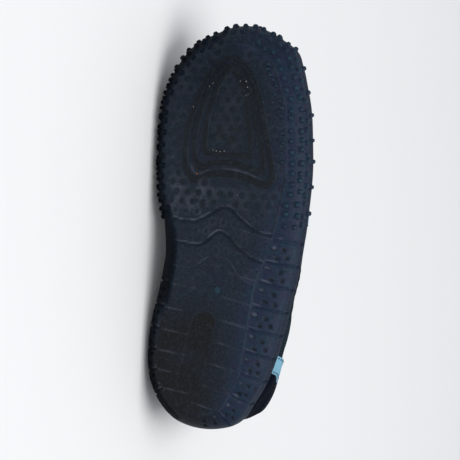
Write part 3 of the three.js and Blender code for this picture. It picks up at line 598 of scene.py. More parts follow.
side = side + out * lift[..., None]
# A pale line along the foot of the outer side: dust and a painted highlight.
side_dust_and_highlight = np.maximum(side_dust_and_highlight, 0.2 * band(u, 0.03, 0.02) * (ring["out"][:, 0] < 0)[None, :])

# %% Where the side is darker
# Painted shade: the rubber is painted darker on the inner side, which lies close over the floor, a little at
# the toe and heel ends, and on the outer side just under the rim, where the rim under the upper catches
# little light. A pale floor would light these parts more than the real ones were lit.
away_inner = smooth(0.1, 0.75, ring["out"][:, 0])[None, :]
at_ends = 0.15 * smooth(0.2, 0.8, np.abs(ring["out"][:, 1]))[None, :]
waisted = (smooth(0.46, 0.56, ring["t"]) * (1 - smooth(0.66, 0.74, ring["t"])))[None, :]
low_side = (1 - smooth(0.06, 0.3, u)) * (1 - waisted)
rim_shade = 0.36 * smooth(0.1, 0.75, -ring["out"][:, 0])[None, :] * smooth(0.62, 0.8, u)
side_shade = np.maximum(away_inner * (1 - 0.9 * low_side), at_ends) * np.ones_like(lift)
side_shade = np.maximum(side_shade, rim_shade)
worn_heel = smooth(0.7, 0.84, ring["t"]) * smooth(-0.6, 0.1, ring["out"][:, 0])
side_wear = 0.85 * (1 - smooth(0.2, 0.6, u)) * worn_heel[None, :]

# %% Rim, inside of the cup, and the finished side
lip = [placed(ring, RIM_SET_IN + 1.0 - np.cos(angle), ring["rim"] + 0.6 * np.sin(angle))
       for angle in np.linspace(0.2, np.pi, 7)]
down = [placed(ring, RIM_SET_IN + RIM_WALL + 0.3, ring["rim"] - 4),
        placed(ring, RIM_SET_IN + RIM_WALL + 1, CUP_KNEE),
        placed(ring, ring["edge"] * CORNER_SHARE + CORNER_SET, CUP_CORNER),
        placed(ring, ring["edge"] * FLOOR_SHARE + 2.5, SOLE_FLOOR)]
shell = np.concatenate([side, np.array(lip), np.array(down)])
extra = np.zeros((len(shell) - len(side), len(TURNS)))


def flat_uv(across, along):
    """Texture coordinates of a grid in tenths of a metre, from a distance along its rows and its columns."""
    return np.stack(np.broadcast_arrays(across[None, :], along[:, None]), -1) / 100


side_values = {"wear": np.concatenate([side_wear, extra]),
               "dust_and_highlight": np.concatenate([side_dust_and_highlight, extra]),
               "rib": np.concatenate([pit_shade, extra]),
               # Painted shade: the inner side takes the duller walked-on tone.
               "trodden_and_shade": smooth(-0.6, 0.4, ring["out"][:, 0])[None, :] * np.ones((len(shell), 1)),
               "shade": np.concatenate([side_shade, extra])}
sole_side = make("sole_side", shell, quads_of(len(shell), len(TURNS), True), SOLE_MIDDLE,
                 flat_uv(round_arc, np.linspace(0, 1, len(shell)) * 36), side_values)

# %% [markdown]
# ## Pointed nubs
# The front half of the side bites into gravel with rows of small four-sided points. Each is a pyramid
# with a slightly blunt tip and hollow flanks, and the rows are staggered like bricks. Real nubs are a
# little uneven, so each one is shifted, turned and sized by a small seeded amount.

# %% One nub
levels = [(-0.6, 2.3), (0.0, 1.95), (0.4, 1.65), (1.45, 1.25), (1.8, 1.0), (1.95, 0.6)]
around = np.arange(8) * np.pi / 4
square = 1 / np.maximum(np.abs(np.cos(around)), np.abs(np.sin(around)))
square = 1 + (square - 1) * 0.75
nub = np.array([[r * k * np.cos(a), r * k * np.sin(a), h]
                for h, r in levels for a, k in zip(around, square)] + [[0, 0, 2.0]] * 8)
nub_faces = quads_of(len(levels) + 1, 8, True)
print("one nub:", len(nub), "points,", len(nub_faces), "faces")

# %% Rows of nubs round the front half
# Each row has its share of the side's height, its pitch and its size.
NUB_ROWS = [(0.13, 6.6, 0.95), (0.37, 6.6, 1.0), (0.6, 6.6, 1.0), (0.9, 15.0, 0.95)]
NUB_REACH = np.arccos(1 - 2 * 0.49)
centres, axes, shades, nub_glint, nub_trodden_and_shade = [], [], [], [], []
for row, (level, pitch, scale) in enumerate(NUB_ROWS):
    turns = np.linspace(-NUB_REACH, NUB_REACH, 2001)
    path_arc = walked(side_point(station(turns), level))
    spots = np.arange(0.5 * pitch * (row % 2) + 1, path_arc[-1], pitch)
    turn = np.interp(spots, path_arc, turns) + rng.uniform(-0.014, 0.014, len(spots))
    s = station(turn)
    height_on = level + rng.uniform(-0.035, 0.035, len(spots))
    p = side_point(s, height_on)
    along = unit(side_point(station(turn + 0.01), height_on) - side_point(station(turn - 0.01), height_on))
    over = unit(side_point(s, height_on + 0.02) - side_point(s, height_on - 0.02))
    normal = unit(np.cross(along, over))
    normal *= np.sign(np.sum(normal[:, :2] * s["out"], -1, keepdims=True))
    size = scale * rng.uniform(0.84, 1.06, len(spots))[:, None, None]
    # Painted highlight: each nub's tip gets a glint of random strength, weaker on the inner side, which faces
    # away from the lamp.
    nub_glint.append(rng.uniform(0.25, 1.0, len(spots)) * (1 - 0.7 * smooth(0.1, 0.75, s["out"][:, 0])))
    spin = rng.uniform(-0.2, 0.2, len(spots))[:, None]
    a1, a2 = along * np.cos(spin) + over * np.sin(spin), over * np.cos(spin) - along * np.sin(spin)
    axes.append(np.stack([a1, a2, normal], 1) * size)
    centres.append(p)
    # Painted shade: nubs on the inner side and at the toe are painted darker, and those on the inner side
    # take the duller walked-on tone.
    shaded = smooth(0.1, 0.75, s["out"][:, 0]) * (0.65 + 0.35 * smooth(0.1, 0.4, level))
    shades.append(np.maximum(shaded, 0.15 * smooth(0.2, 0.8, s["out"][:, 1])))
    nub_trodden_and_shade.append(smooth(-0.6, 0.4, s["out"][:, 0]))

# %% A short row on the tread's margin, along the outer side of the toes
MARGIN_NUBS = 14
turn = np.interp(np.arange(MARGIN_NUBS), [0, MARGIN_NUBS - 1], np.arccos([1 - 2 * 0.07, 1 - 2 * 0.33]))
s = station(turn)
centres.append(placed(s, s["edge"] + rng.uniform(2.2, 4.6, MARGIN_NUBS), 0.0))
down_way = np.tile([0.0, 0.0, -1.0], (MARGIN_NUBS, 1))
out_way = np.concatenate([s["out"], np.zeros((MARGIN_NUBS, 1))], 1)
size = rng.uniform(0.6, 0.8, MARGIN_NUBS)[:, None, None]
axes.append(np.stack([out_way, np.cross(down_way, out_way), down_way], 1) * size)
shades.append(np.zeros(MARGIN_NUBS))
nub_glint.append(rng.uniform(0.4, 1.0, MARGIN_NUBS))
nub_trodden_and_shade.append(np.full(MARGIN_NUBS, 0.4))

# %% Build the nubs
nubs = copies("sole_nubs", nub, nub_faces, np.concatenate(centres), np.concatenate(axes), SOLE_MIDDLE,
              {"teal_mark_and_glint": smooth(0.5, 1.6, nub[:, 2]) * np.concatenate(nub_glint)[:, None],
               "trodden_and_shade": np.concatenate(nub_trodden_and_shade)[:, None],
               "shade": np.concatenate(shades)[:, None]})

# %% [markdown]
# ## The upper
# The upper is a sock of coarse knitted mesh, pulled over a last and cemented into the cup. Its side runs
# from inside the cup to a ridge over the front of the foot, or to the edge of the collar behind it.
# A fabric upper isn't smooth: it creases where the toes bend it and sags a little when it lies on its
# side, so its main creases are listed one by one.

# %% Shape of the upper
RIDGE = table("t z", [[0.15, 43], [0.22, 46], [0.3, 50.5], [0.4, 58], [0.46, 63], [0.5, 66]])
COLLAR = table("turn t x z round", [
    [93, 0.5, 0.0, 66, 1.0], [98, 0.53, 0.15, 64.5, 0.9], [108, 0.615, 0.27, 59, 0.7],
    [123, 0.76, 0.33, 55.5, 0.5], [135, 0.862, 0.325, 57, 0.45], [145, 0.918, 0.29, 59, 0.45],
    [155, 0.953, 0.215, 61, 0.45], [180, 0.98, 0.0, 63, 0.45],
])
ridge_at = through(RIDGE["t"], RIDGE["z"])
collar_at = {key: through(COLLAR["turn"], COLLAR[key]) for key in ("t", "x", "z", "round")}
THROAT = 93.0


def top_point(degrees):
    """Where a column of the upper ends: on the ridge in front of the throat, on the collar behind it."""
    turn = np.where(degrees > 180, 360 - degrees, degrees)
    side_sign = np.where(degrees > 180, 1.0, -1.0)
    share = share_of(np.radians(turn)) / share_of(np.radians(THROAT))
    t_front = 0.15 + 0.35 * np.minimum(share, 1)
    front = np.stack([BALL * centre_at(t_front), LENGTH * (1 - t_front), ridge_at(t_front)], -1)
    t, x, z = (collar_at[key](turn) for key in ("t", "x", "z"))
    back = np.stack([BALL * (centre_at(t) + side_sign * x), LENGTH * (1 - t), z], -1)
    return np.where((turn <= THROAT)[..., None], front, back)


SINK_INSTEP, SINK_COLLAR, SINK_HEEL, DROP_HEEL, SWELL_BELLY = 3.6, 4.8, 1.6, 3.0, 2.0


# %% How the upper slumps
def slumped(p):
    """The limp outer side faces up, so it sinks in at instep, collar and heel, and swells between them."""
    x, y, z = p[..., 0], p[..., 1], p[..., 2]
    outer_side = smooth(6, 26, -x)
    instep = outer_side * smooth(23, 33, z) * (1 - smooth(46, 60, z)) * np.exp(-(((y - 138) / 34) ** 2))
    heel = outer_side * smooth(22, 42, z) * np.exp(-(((y - 6) / 27) ** 2))
    collar = outer_side * smooth(33, 52, z) * np.exp(-(((y - 66) / 34) ** 2))
    belly = outer_side * smooth(24, 34, z) * (1 - smooth(46, 56, z)) * np.exp(-(((y - 44) / 30) ** 2))
    sink = SINK_INSTEP * instep + SINK_COLLAR * collar - SWELL_BELLY * belly + SINK_HEEL * heel
    return np.stack([x + sink, y, z - DROP_HEEL * heel], -1)


def upper_point(degrees, v):
    """From the brim at v 0 to the top at v 1: a blend of a straight line and a quarter round."""
    turn = np.where(degrees > 180, 360 - degrees, degrees)
    s = station(np.radians(degrees))
    brim = placed(s, RIM_SET_IN + RIM_WALL + GAP, s["rim"] + GAP + 0.1)
    top = top_point(degrees)
    bow = collar_at["round"](turn)
    q = v * np.pi / 2
    inward = ((1 - bow) * v + bow * (1 - np.cos(q)))[..., None]
    upward = ((1 - bow) * v + bow * np.sin(q))[..., None]
    flat = brim[..., :2] + (top[..., :2] - brim[..., :2]) * inward
    return slumped(np.concatenate([flat, brim[..., 2:] + (top[..., 2:] - brim[..., 2:]) * upward], -1))


def upper_grid(degrees, v, taper=0.0):
    """Points and outward normals over turns and heights, drawn in to the heel as they rise by the taper."""
    d, h = np.meshgrid(degrees, v)
    d = 180 + (d - 180) * (1 - taper * h)
    step = 1e-3
    p = upper_point(d, h)
    along = upper_point(d + 0.2, h) - upper_point(d - 0.2, h)
    over = upper_point(d, np.minimum(h + step, 1)) - upper_point(d, np.maximum(h - step, 0))
    n = unit(np.cross(along, over))
    away = p - np.array([BALL * centre_at(0.5), 128.0, 25.0])
    n = n * np.where(np.sum(n * away, -1, keepdims=True) < 0, -1, 1)
    return p, n


# %% [markdown]
# ## Creases
# Cloth could be simulated, but the creases of a worn shoe are few and sit where the foot bends it, so
# they are drawn. Each is a line of turn and height over the upper with a depth and a width in
# millimetres. The points move in along it, out beside it, and back to nothing at its ends.

# %% Creases of the upper, listed one by one
CREASES = [
    ([(52, 0.42), (50, 0.7), (47, 0.98)], 1.5, 4.2),
    ([(60, 0.3), (59, 0.62), (57, 0.98)], 1.9, 4.6),
    ([(68, 0.35), (68, 0.7), (67, 1.0)], 1.2, 4.0),
    ([(300, 0.32), (301, 0.66), (303, 0.98)], 1.9, 4.6),
    ([(308, 0.45), (310, 0.75), (312, 0.98)], 1.4, 4.2),
    ([(291, 0.4), (292, 0.7), (293, 1.0)], 1.1, 4.0),
    ([(112, 0.25), (119, 0.45), (124, 0.7)], 1.3, 4.4),
    ([(120, 0.2), (127, 0.36)], 0.9, 3.6),
    ([(246, 0.25), (240, 0.46), (236, 0.72)], 1.4, 4.6),
    ([(100, 0.55), (104, 0.75), (106, 0.93)], 1.0, 4.0),
    ([(258, 0.5), (256, 0.72), (254, 0.93)], 1.0, 4.0),
]


def creased(p):
    """How far points move out: in at the creases, out beside them, with slow soft waves over all."""
    move = 0.5 * waves(p, 46.0, 21) + 0.16 * waves(p, 17.0, 22)
    for spots, depth, width in CREASES:
        knots = np.array([upper_point(np.array(a), np.array(b)) for a, b in spots])
        line = rounded(knots, 24, False)
        best = np.full(p.shape[:-1], 1e9)
        along = np.zeros(p.shape[:-1])
        for k in range(len(line) - 1):
            step = line[k + 1] - line[k]
            s = np.clip(((p - line[k]) @ step) / (step @ step), 0, 1)
            d = np.linalg.norm(p - line[k] - s[..., None] * step, axis=-1)
            along = np.where(d < best, (k + s) / (len(line) - 1), along)
            best = np.minimum(best, d)
        fade = np.sin(np.pi * np.clip(along, 0.02, 0.98)) ** 0.6
        move += 1.3 * fade * depth * (0.45 * np.exp(-(((best - width) / (0.55 * width)) ** 2))
                                      - np.exp(-((best / (0.42 * width)) ** 2)))
    return move


def on_upper(p, n, v, lift, clear):
    """Points of the upper, creased except at the brim, raised by a lift and kept above the floor."""
    return over_floor(p + n * (creased(p) * smooth(0, 0.05, v)[:, None] + lift)[..., None], clear)


# %% Build the upper
degrees = np.degrees(TURNS)[::2]
heights = np.concatenate([np.linspace(0, 0.9, 54), np.linspace(0.915, 1.0, 8)])
face, normal = upper_grid(degrees, heights)
face = on_upper(face, normal, heights, 0.0, 0.25)
s = station(np.radians(degrees))
foot = placed(s, s["edge"] * CORNER_SHARE + 3.3, CUP_CORNER + 0.6)
knee = placed(s, RIM_SET_IN + RIM_WALL + 1 + GAP + 0.15, CUP_KNEE)
outer = np.concatenate([[foot], [knee], face])
outer_n = np.concatenate([normal[:1], normal[:1], normal])
inner = outer - outer_n * (UPPER_WALL - 0.1)
over_collar = outer[-1:] * 0.5 + inner[-1:] * 0.5
wall = np.concatenate([outer, over_collar, inner[::-1]])
wall_uv = flat_uv(walked(outer[2]), walked(wall[:, 60]))
inside_out = np.concatenate([np.zeros(len(outer)), [0.5], np.ones(len(inner))])
upper = make("upper_mesh", wall, quads_of(len(wall), len(degrees), True), UPPER_MIDDLE, wall_uv,
             {"lining": np.broadcast_to(inside_out[:, None], wall.shape[:2])}, weld=1e-6)

# %% [markdown]
# ## Tapes over the upper
# Two pale tapes hold the front edges of the heel panel and one more runs over the instep. Each is a
# woven ribbon sewn down along both edges, so it is thickest in the middle and pinched at its stitches.
# A stitch is modelled once and copied along every seam, so the seams stay sharp from any distance.

# %% Ribbons
TAPE_THICK, STITCH_PITCH, HEEL_TAPER = 1.5, 3.3, 0.1
STITCHED_COLUMNS = (4, 24)


def tape(low, high, to_v, taper=0.0):
    """A ribbon between two turns, as high as the root of the distance from its edge, pinched at the seams."""
    w = np.concatenate([[0.0, 0.012], np.linspace(0.04, 0.96, 25), [0.988, 1.0]])
    v = np.linspace(0.0, to_v, 64)
    degrees = low + (high - low) * w
    p, n = upper_grid(degrees, v, taper)
    pinch = band(np.abs(np.minimum(w, 1 - w) - 0.14), 0.03, 0.05)
    lift = TAPE_THICK * np.clip(np.minimum(w, 1 - w) / 0.03, 0, 1) ** 0.5 - 0.3 * pinch
    return on_upper(p, n, v, lift, 0.2), n, w, v


# %% Stitches
def stitch_shape():
    """One stitch: a short thread that is fat in the middle and dives at both ends."""
    along = np.linspace(-1, 1, 7)
    ring_of = np.arange(6) * np.pi / 3
    points = [[1.0 * a, 0.5 * np.sqrt(max(1 - a**4, 0.02)) * np.cos(r),
               0.3 * np.sqrt(max(1 - a**4, 0.02)) * np.sin(r) - 0.28 * a * a] for a in along for r in ring_of]
    return np.array(points), quads_of(7, 6, True)


def stitches(path, up, pitch):
    """Centres and axes of stitches at equal steps along a path, lying on the surface under them."""
    path_arc = walked(path)
    spots = np.arange(pitch * 0.5, path_arc[-1] - pitch * 0.5, pitch)

    def at(values):
        return np.stack([np.interp(spots, path_arc, values[:, k]) for k in range(3)], -1)

    along = unit(at(np.gradient(path, axis=0)))
    normal = unit(at(up))
    side_way = unit(np.cross(normal, along))
    return at(path), np.stack([along, side_way, unit(np.cross(along, side_way))], 1)


# %% Build the tapes
thread_at, tapes = [], []
for name, low, high, node in [("heel_tape_outer", 127.6, 134.6, "heel_band_outer"),
                              ("heel_tape_inner", 225.4, 232.4, "heel_band_inner")]:
    p, n, w, v = tape(low, high, 0.87, HEEL_TAPER)
    piece = make(name, p, quads_of(len(v), len(w), False), HEEL_MIDDLE, flat_uv(w * 11, v * 48))
    tapes.append((piece, node))
    for k in STITCHED_COLUMNS:
        thread_at.append(stitches(p[:, k] + n[:, k] * 0.12, n[:, k], STITCH_PITCH))

# The instep tape climbs one side, crosses the ridge and goes down the other side.
p1, n1, w, v = tape(83.5, 88.5, 0.998)
p2, n2, _, _ = tape(276.5, 271.5, 0.998)
band_p, band_n = np.concatenate([p1, p2[::-1]]), np.concatenate([n1, n2[::-1]])
piece = make("instep_tape", band_p, quads_of(len(band_p), len(w), False), (-4, 140, 25),
             flat_uv(w * 11, np.linspace(0, 130, len(band_p))))
tapes.append((piece, "instep_band"))
for k in STITCHED_COLUMNS:
    thread_at.append(stitches(band_p[:, k] + band_n[:, k] * 0.12, band_n[:, k], STITCH_PITCH))

# %% [markdown]
# ## The knitted heel
# A padded rib knit wraps the back of the heel, so that the shoe can be pulled on by it. Its ribs run up
# from the sole to the collar, about 2 mm apart, and it swells a little between its sewn edges.

# %% Build the heel panel
KNIT_RIB = 2.1
knit_degrees = np.linspace(134.5, 225.5, 420)
knit_v = np.linspace(0.0, 0.9, 70)
p, n = upper_grid(knit_degrees, knit_v, HEEL_TAPER)
across = walked(p[30])
edge = np.minimum(across, across[-1] - across)
ribs = 0.2 * np.abs(np.sin(np.pi * across / KNIT_RIB)) ** 0.7
swell = 0.6 * smooth(0, 6, edge) + 0.35
lift = (swell + ribs)[None, :] * np.ones((len(knit_v), 1)) + 0.3 * waves(p, 22.0, 31)
knit = make("heel_knit", on_upper(p, n, knit_v, lift, 0.2), quads_of(len(knit_v), len(across), False),
            HEEL_MIDDLE, flat_uv(across, knit_v * 42))

# %% [markdown]
# ## The collar
# The raw edge of the collar is wrapped in a soft tape. Its section is a folded strip, swept round the
# whole edge, with a line of stitches just inside its lower edge.

# %% The edge of the collar as a loop
LOOP_POINTS, PUCKERS = 420, 95
loop_degrees = np.linspace(THROAT, 360 - THROAT, LOOP_POINTS, endpoint=False)
edge_p, edge_n = upper_grid(loop_degrees, np.array([0.985, 1.0]))
edge_p, edge_n = edge_p[1], unit(edge_n[0])
for _ in range(30):
    edge_p = edge_p * 0.5 + 0.25 * (np.roll(edge_p, 1, 0) + np.roll(edge_p, -1, 0))
    edge_n = unit(edge_n * 0.5 + 0.25 * (np.roll(edge_n, 1, 0) + np.roll(edge_n, -1, 0)))
tangent = unit(np.roll(edge_p, -1, 0) - np.roll(edge_p, 1, 0))
away = unit(np.cross(tangent, edge_n))
away *= np.sign(-away[LOOP_POINTS // 2, 2])
print("collar:", round(walked(np.concatenate([edge_p, edge_p[:1]]))[-1]), "mm round its edge")

# %% Section of the binding
# Each pair is a distance down from the edge and a height over the upper's face, in millimetres.
reach, outer_h, inner_h = 6.2, 1.55, -3.5
mid, half = (outer_h + inner_h) / 2, (outer_h - inner_h) / 2
section = [(reach, outer_h - 1.1), (reach + 0.25, outer_h - 0.6), (reach, outer_h - 0.15),
           (reach - 0.7, outer_h)]
section += [(a, outer_h - (0.22 if k == 1 else 0)) for k, a in enumerate((5.0, 4.6, 4.2, 2.6, 1.2))]
section += [(-half * 0.62 * np.sin(a), mid + half * np.cos(a)) for a in np.linspace(0.15, np.pi - 0.15, 11)]
section += [(1.2, inner_h), (3.0, inner_h), (reach - 0.7, inner_h), (reach, inner_h + 0.2),
            (reach, inner_h + 1.1), (reach - 2, inner_h + 1.25), (0.4, inner_h + 1.3), (0.2, outer_h - 1.3),
            (reach - 2, outer_h - 1.2)]
down_by, over_by = np.array(section)[:, :, None, None].transpose(1, 0, 2, 3)

# %% Sweep the binding
pucker = 0.12 * np.sin(np.arange(LOOP_POINTS) * 2 * np.pi * PUCKERS / LOOP_POINTS)[None, :, None]
bind = edge_p[None] + down_by * away[None] + (over_by + pucker * (down_by > 3)) * edge_n[None]
bind = over_floor(bind, 0.2)
bind_loop = np.concatenate([bind, bind[:1]])
binding = make("collar_tape", bind_loop, quads_of(len(bind_loop), LOOP_POINTS, True), (-4, 60, 80),
               flat_uv(walked(edge_p), np.linspace(0, 24, len(bind_loop))), weld=1e-6)

# %% Sew it on, and build all the stitches
seam = edge_p + away * 4.6 + edge_n * (outer_h - 0.1)
seam_path, seam_up = (np.concatenate([v, v[:1]]) for v in (seam, edge_n))
thread_at.append(stitches(seam_path, seam_up, 3.0))
shape, shape_faces = stitch_shape()
threads = copies("stitches", shape, shape_faces, np.concatenate([c for c, _ in thread_at]),
                 np.concatenate([a for _, a in thread_at]), (-4, 100, 25))
print("stitches:", sum(len(c) for c, _ in thread_at))

# %% [markdown]
# ## The insole
# A thin foam sock with a cloth face lies loose in the cup. It is a crowned slab with soft edges, and its
# face is pressed down a little under the heel and the ball of the foot.

# %% Rings of the insole
INSOLE_THICK, SOLE_SPINE = 4.0, 0.72
low, high = SOLE_FLOOR + GAP, SOLE_FLOOR + GAP + INSOLE_THICK
spine_y = LENGTH / 2 + (ring["p"][:, 1] - LENGTH / 2) * SOLE_SPINE
spine = np.stack([BALL * centre_at(1 - spine_y / LENGTH), spine_y], -1)


def sock_ring(edge_ring, share, rise, dish=0.0):
    """A ring part of the way from the middle line to an edge ring, lifted over the tread."""
    xy = spine + (edge_ring[:, :2] - spine) * share
    t = 1 - xy[:, 1] / LENGTH
    cup = dish * (np.exp(-((t - 0.85) / 0.1) ** 2) + 0.7 * np.exp(-((t - 0.3) / 0.14) ** 2))
    return np.concatenate([xy, (tread_height(xy[:, 0], xy[:, 1]) + rise - cup)[:, None]], -1)


# %% Build the insole
edge_low = placed(ring, ring["edge"] * FLOOR_SHARE + 3.2, 0)
edge_top = placed(ring, ring["edge"] * CORNER_SHARE + CORNER_SET + UPPER_WALL + 2.6, 0)
rings = [sock_ring(edge_low, f, low) for f in (0.0, 0.5, 1.0)]
for a in 1.5 * np.linspace(-0.4, 1.0, 8):
    rings.append(sock_ring(edge_top, 1 + 0.012 * (np.cos(a) - 1), (low + high) / 2 + 1.95 * np.sin(a)))
rings += [sock_ring(edge_top, f, high - 0.02, 0.9 * (1 - f**3)) for f in np.linspace(0.975, 0, 26)]
sock = np.array(rings)
insole = make("insole_foam", sock, quads_of(len(sock), len(TURNS), True), (-4, 128, 7), sock[..., :2] / 100,
              weld=1e-6)

# %% [markdown]
# ## Materials
# A small helper keeps the node trees short. Every pattern is laid in millimetres on the surface itself,
# so a rib or a stitch has its real size wherever it is seen from.

# %% A helper for node trees
class Net:
    """A material's node tree with short calls for the nodes used here."""

    def __init__(self, name):
        self.material = bpy.data.materials.new(name)
        self.material.use_nodes = True
        self.tree = self.material.node_tree
        self.shader = self.tree.nodes["Principled BSDF"]

    def put(self, socket, value):
        """Links a socket to another, or sets its value."""
        if isinstance(value, bpy.types.NodeSocket):
            self.tree.links.new(value, socket)
        else:
            socket.default_value = value

    def node(self, kind, inputs=(), **settings):
        """A node of a kind with its settings and inputs."""
        made = self.tree.nodes.new("ShaderNode" + kind)
        for key, value in settings.items():
            setattr(made, key, value)
        for key, value in dict(inputs).items():
            self.put(made.inputs[key], value)
        return made

    def value(self, name):
        """A named value of the mesh."""
        return self.node("Attribute", attribute_name=name).outputs["Fac"]

    def math(self, operation, *values, clamp=False):
        """One operation on numbers."""
        made = self.node("Math", operation=operation, use_clamp=clamp)
        for socket, value in zip(made.inputs, values):
            self.put(socket, value)
        return made.outputs[0]

    def mix(self, factor, a, b):
        """The colour a turning into b as factor goes from 0 to 1."""
        made = self.node("Mix", data_type="RGBA")
        for key, value in ((0, factor), (6, a), (7, b)):
            self.put(made.inputs[key], value)
        return made.outputs[2]

    def ramp(self, factor, low, high):
        """A number from low to high spread over 0 to 1."""
        made = self.node("MapRange", {"Value": factor, "From Min": low, "From Max": high})
        return made.outputs[0]

    def surface(self, scale):
        """Texture coordinates of the surface, scaled so that 1 is one repeat."""
        made = self.node("Mapping", {"Vector": self.node("UVMap", uv_map="UVMap").outputs[0],
                                     "Scale": scale})
        return made.outputs[0]

    def object_space(self):
        """Object coordinates in metres, centred on the shoe."""
        made = self.node("Mapping", {"Vector": self.node("TexCoord").outputs["Object"],
                                     "Location": (0, 0, -0.04)})
        return made.outputs[0]

    def noise(self, vector, scale, detail=3.0, rough=0.55):
        """Noise from 0 to 1."""
        made = self.node("TexNoise", {"Vector": vector, "Scale": scale, "Detail": detail, "Roughness": rough})
        return made.outputs["Fac"]

    def bump(self, height, distance, strength):
        """A normal from a height between 0 and 1, with the distance in metres."""
        return self.node("Bump", {"Height": height, "Distance": distance, "Strength": strength}).outputs[0]

    def finish(self, **sockets):
        """Sets the shader's sockets, underscores standing for spaces."""
        for key, value in sockets.items():
            self.put(self.shader.inputs[key.replace("_", " ")], value)
        return self.material


# %% [markdown]
# ### Rubber
# Navy foam rubber, bluish where it is clean, browner and duller where it has been walked on, with pale
# dust caught along the edges of the pattern and painted highlights on the lit edges of grooves, ribs and
# pits, painted teal glints on the nubs and the tread's outer edge, a teal disc on the gate mark, painted
# shade with the duller walked-on tone on the inner side and at the ends, and a grain of fine pores. The named
# values of the meshes say where each tone belongs, and noise breaks up their edges, so nothing looks masked.

# %% Tones of the rubber
CLEAN, CLEAN_TEAL = (0.0138, 0.0182, 0.0500, 1), (0.0074, 0.0258, 0.0500, 1)
TRODDEN, TRODDEN_TEAL = (0.0094, 0.0136, 0.0305, 1), (0.0060, 0.0168, 0.0295, 1)
WORN, WORN_PALE = (0.0036, 0.0047, 0.0056, 1), (0.0070, 0.0083, 0.0090, 1)
TEAL_MARK_AND_GLINT, RIB_DARK = (0.0120, 0.0480, 0.0720, 1), (0.0030, 0.0058, 0.0070, 1)
PORE_DARK, SHADE_DARK = (0.0025, 0.0035, 0.0060, 1), (0.0015, 0.0019, 0.0024, 1)
RUBBED, FLECK = (0.026, 0.034, 0.046, 1), (0.024, 0.034, 0.052, 1)
DUST_AND_HIGHLIGHT, SAND = (0.112, 0.122, 0.162, 1), (0.20, 0.20, 0.19, 1)
GRAIN_PALE, GRAIN_ORANGE = (0.34, 0.33, 0.29, 1), (0.42, 0.11, 0.03, 1)


# %% Rubber
def rubber(name):
    """Navy rubber: tone by wear, then pores, flecks, dusty lines with painted highlights, sand and painted
    shade laid over it in turn.
    """
    net = Net(name)
    space = net.object_space()
    cloud = net.noise(space, 38.0, 4.0)
    grain = net.noise(space, 900.0, 4.0, 0.65)
    fine_grain = net.noise(space, 3200.0, 2.0, 0.6)
    specks = net.node("TexVoronoi", {"Vector": space, "Scale": 260.0, "Randomness": 1.0}).outputs["Distance"]
    drawn_out = net.node("Mapping", {"Vector": space, "Scale": (160.0, 1400.0, 1400.0)}).outputs[0]
    scratch = net.noise(drawn_out, 1.0, 2.0)
    wear = net.math("MULTIPLY", net.value("wear"), net.ramp(cloud, 0.12, 0.46), clamp=True)
    mottle = net.noise(space, 330.0, 3.0, 0.6)
    tint = net.ramp(net.noise(space, 170.0, 3.0, 0.6), 0.35, 0.65)
    clean = net.mix(tint, CLEAN, CLEAN_TEAL)
    # Painted highlight: a teal glint on the nub tips and along the tread's outer edge, and a teal disc on the
    # gate mark.
    clean = net.mix(net.math("MULTIPLY", net.value("teal_mark_and_glint"), 0.8), clean, TEAL_MARK_AND_GLINT)
    navy = net.mix(net.value("trodden_and_shade"), clean, net.mix(tint, TRODDEN, TRODDEN_TEAL))
    body = net.mix(wear, navy, net.mix(net.ramp(grain, 0.35, 0.7), WORN, WORN_PALE))
    body = net.mix(net.math("MULTIPLY", net.value("rib"), 0.66, clamp=True), body, RIB_DARK)
    body = net.mix(net.math("MULTIPLY", net.ramp(mottle, 0.52, 0.72), 0.35), body, RUBBED)
    blot = net.noise(space, 900.0, 2.0, 0.7)
    body = net.mix(net.math("MULTIPLY", net.ramp(blot, 0.5, 0.66), 0.55), body, PORE_DARK)
    body = net.mix(net.math("MULTIPLY", net.ramp(blot, 0.48, 0.34), 0.4), body, FLECK)
    # Pale dust along the pattern, together with painted highlights on the lit edges of grooves, ribs and
    # pits.
    patchy = net.ramp(net.noise(space, 120.0, 3.0), 0.38, 0.62)
    dust_and_highlight = net.math("MULTIPLY", net.value("dust_and_highlight"), patchy, clamp=True)
    body = net.mix(net.math("MULTIPLY", dust_and_highlight, 0.48, clamp=True), body, DUST_AND_HIGHLIGHT)
    sand = net.math("MULTIPLY", net.math("LESS_THAN", specks, 0.085),
                    net.math("GREATER_THAN", net.noise(space, 60.0, 1.0), 0.66))
    body = net.mix(net.math("MULTIPLY", sand, 0.55), body, SAND)
    # Painted shade: the shade value darkens the rubber.
    shade = net.value("shade")
    body = net.mix(net.math("MULTIPLY", shade, 0.78), body, SHADE_DARK)
    fine = net.math("ADD", net.math("MULTIPLY", fine_grain, 0.3), net.math("MULTIPLY", scratch, 0.35))
    height = net.math("ADD", net.math("MULTIPLY", grain, 0.6), fine)
    duller = net.math("MULTIPLY", net.math("ADD", wear, net.ramp(grain, 0.3, 0.8)), 0.12)
    rough = net.math("ADD", 0.48, duller)
    # Less shine where the painted shade lies.
    shine = net.math("MAXIMUM", net.math("MULTIPLY_ADD", shade, -0.4, 0.19), 0.035)
    return net.finish(Base_Color=body, Roughness=rough, Normal=net.bump(height, 0.00030, 0.9),
                      Specular_IOR_Level=shine)


rubber_material = rubber("navy_rubber")
for piece in (tread, sole_side, nubs):
    finish_piece(piece, rubber_material, "rubber")
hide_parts("outsole")

net = Net("sand")
tone = net.mix(net.value("orange"), GRAIN_PALE, GRAIN_ORANGE)
finish_piece(sand, net.finish(Base_Color=tone, Roughness=0.6, Specular_IOR_Level=0.4), "rubber")


# %% [markdown]
# ### Fabrics
# The upper is an open knit with rows of small holes, the lining a close jersey, the heel a rib knit and
# the tapes a plain weave of pale yarn. All are patterns of sines over the surface's millimetres.

# %% Open knit and lining
FULL_TURN = 2 * np.pi


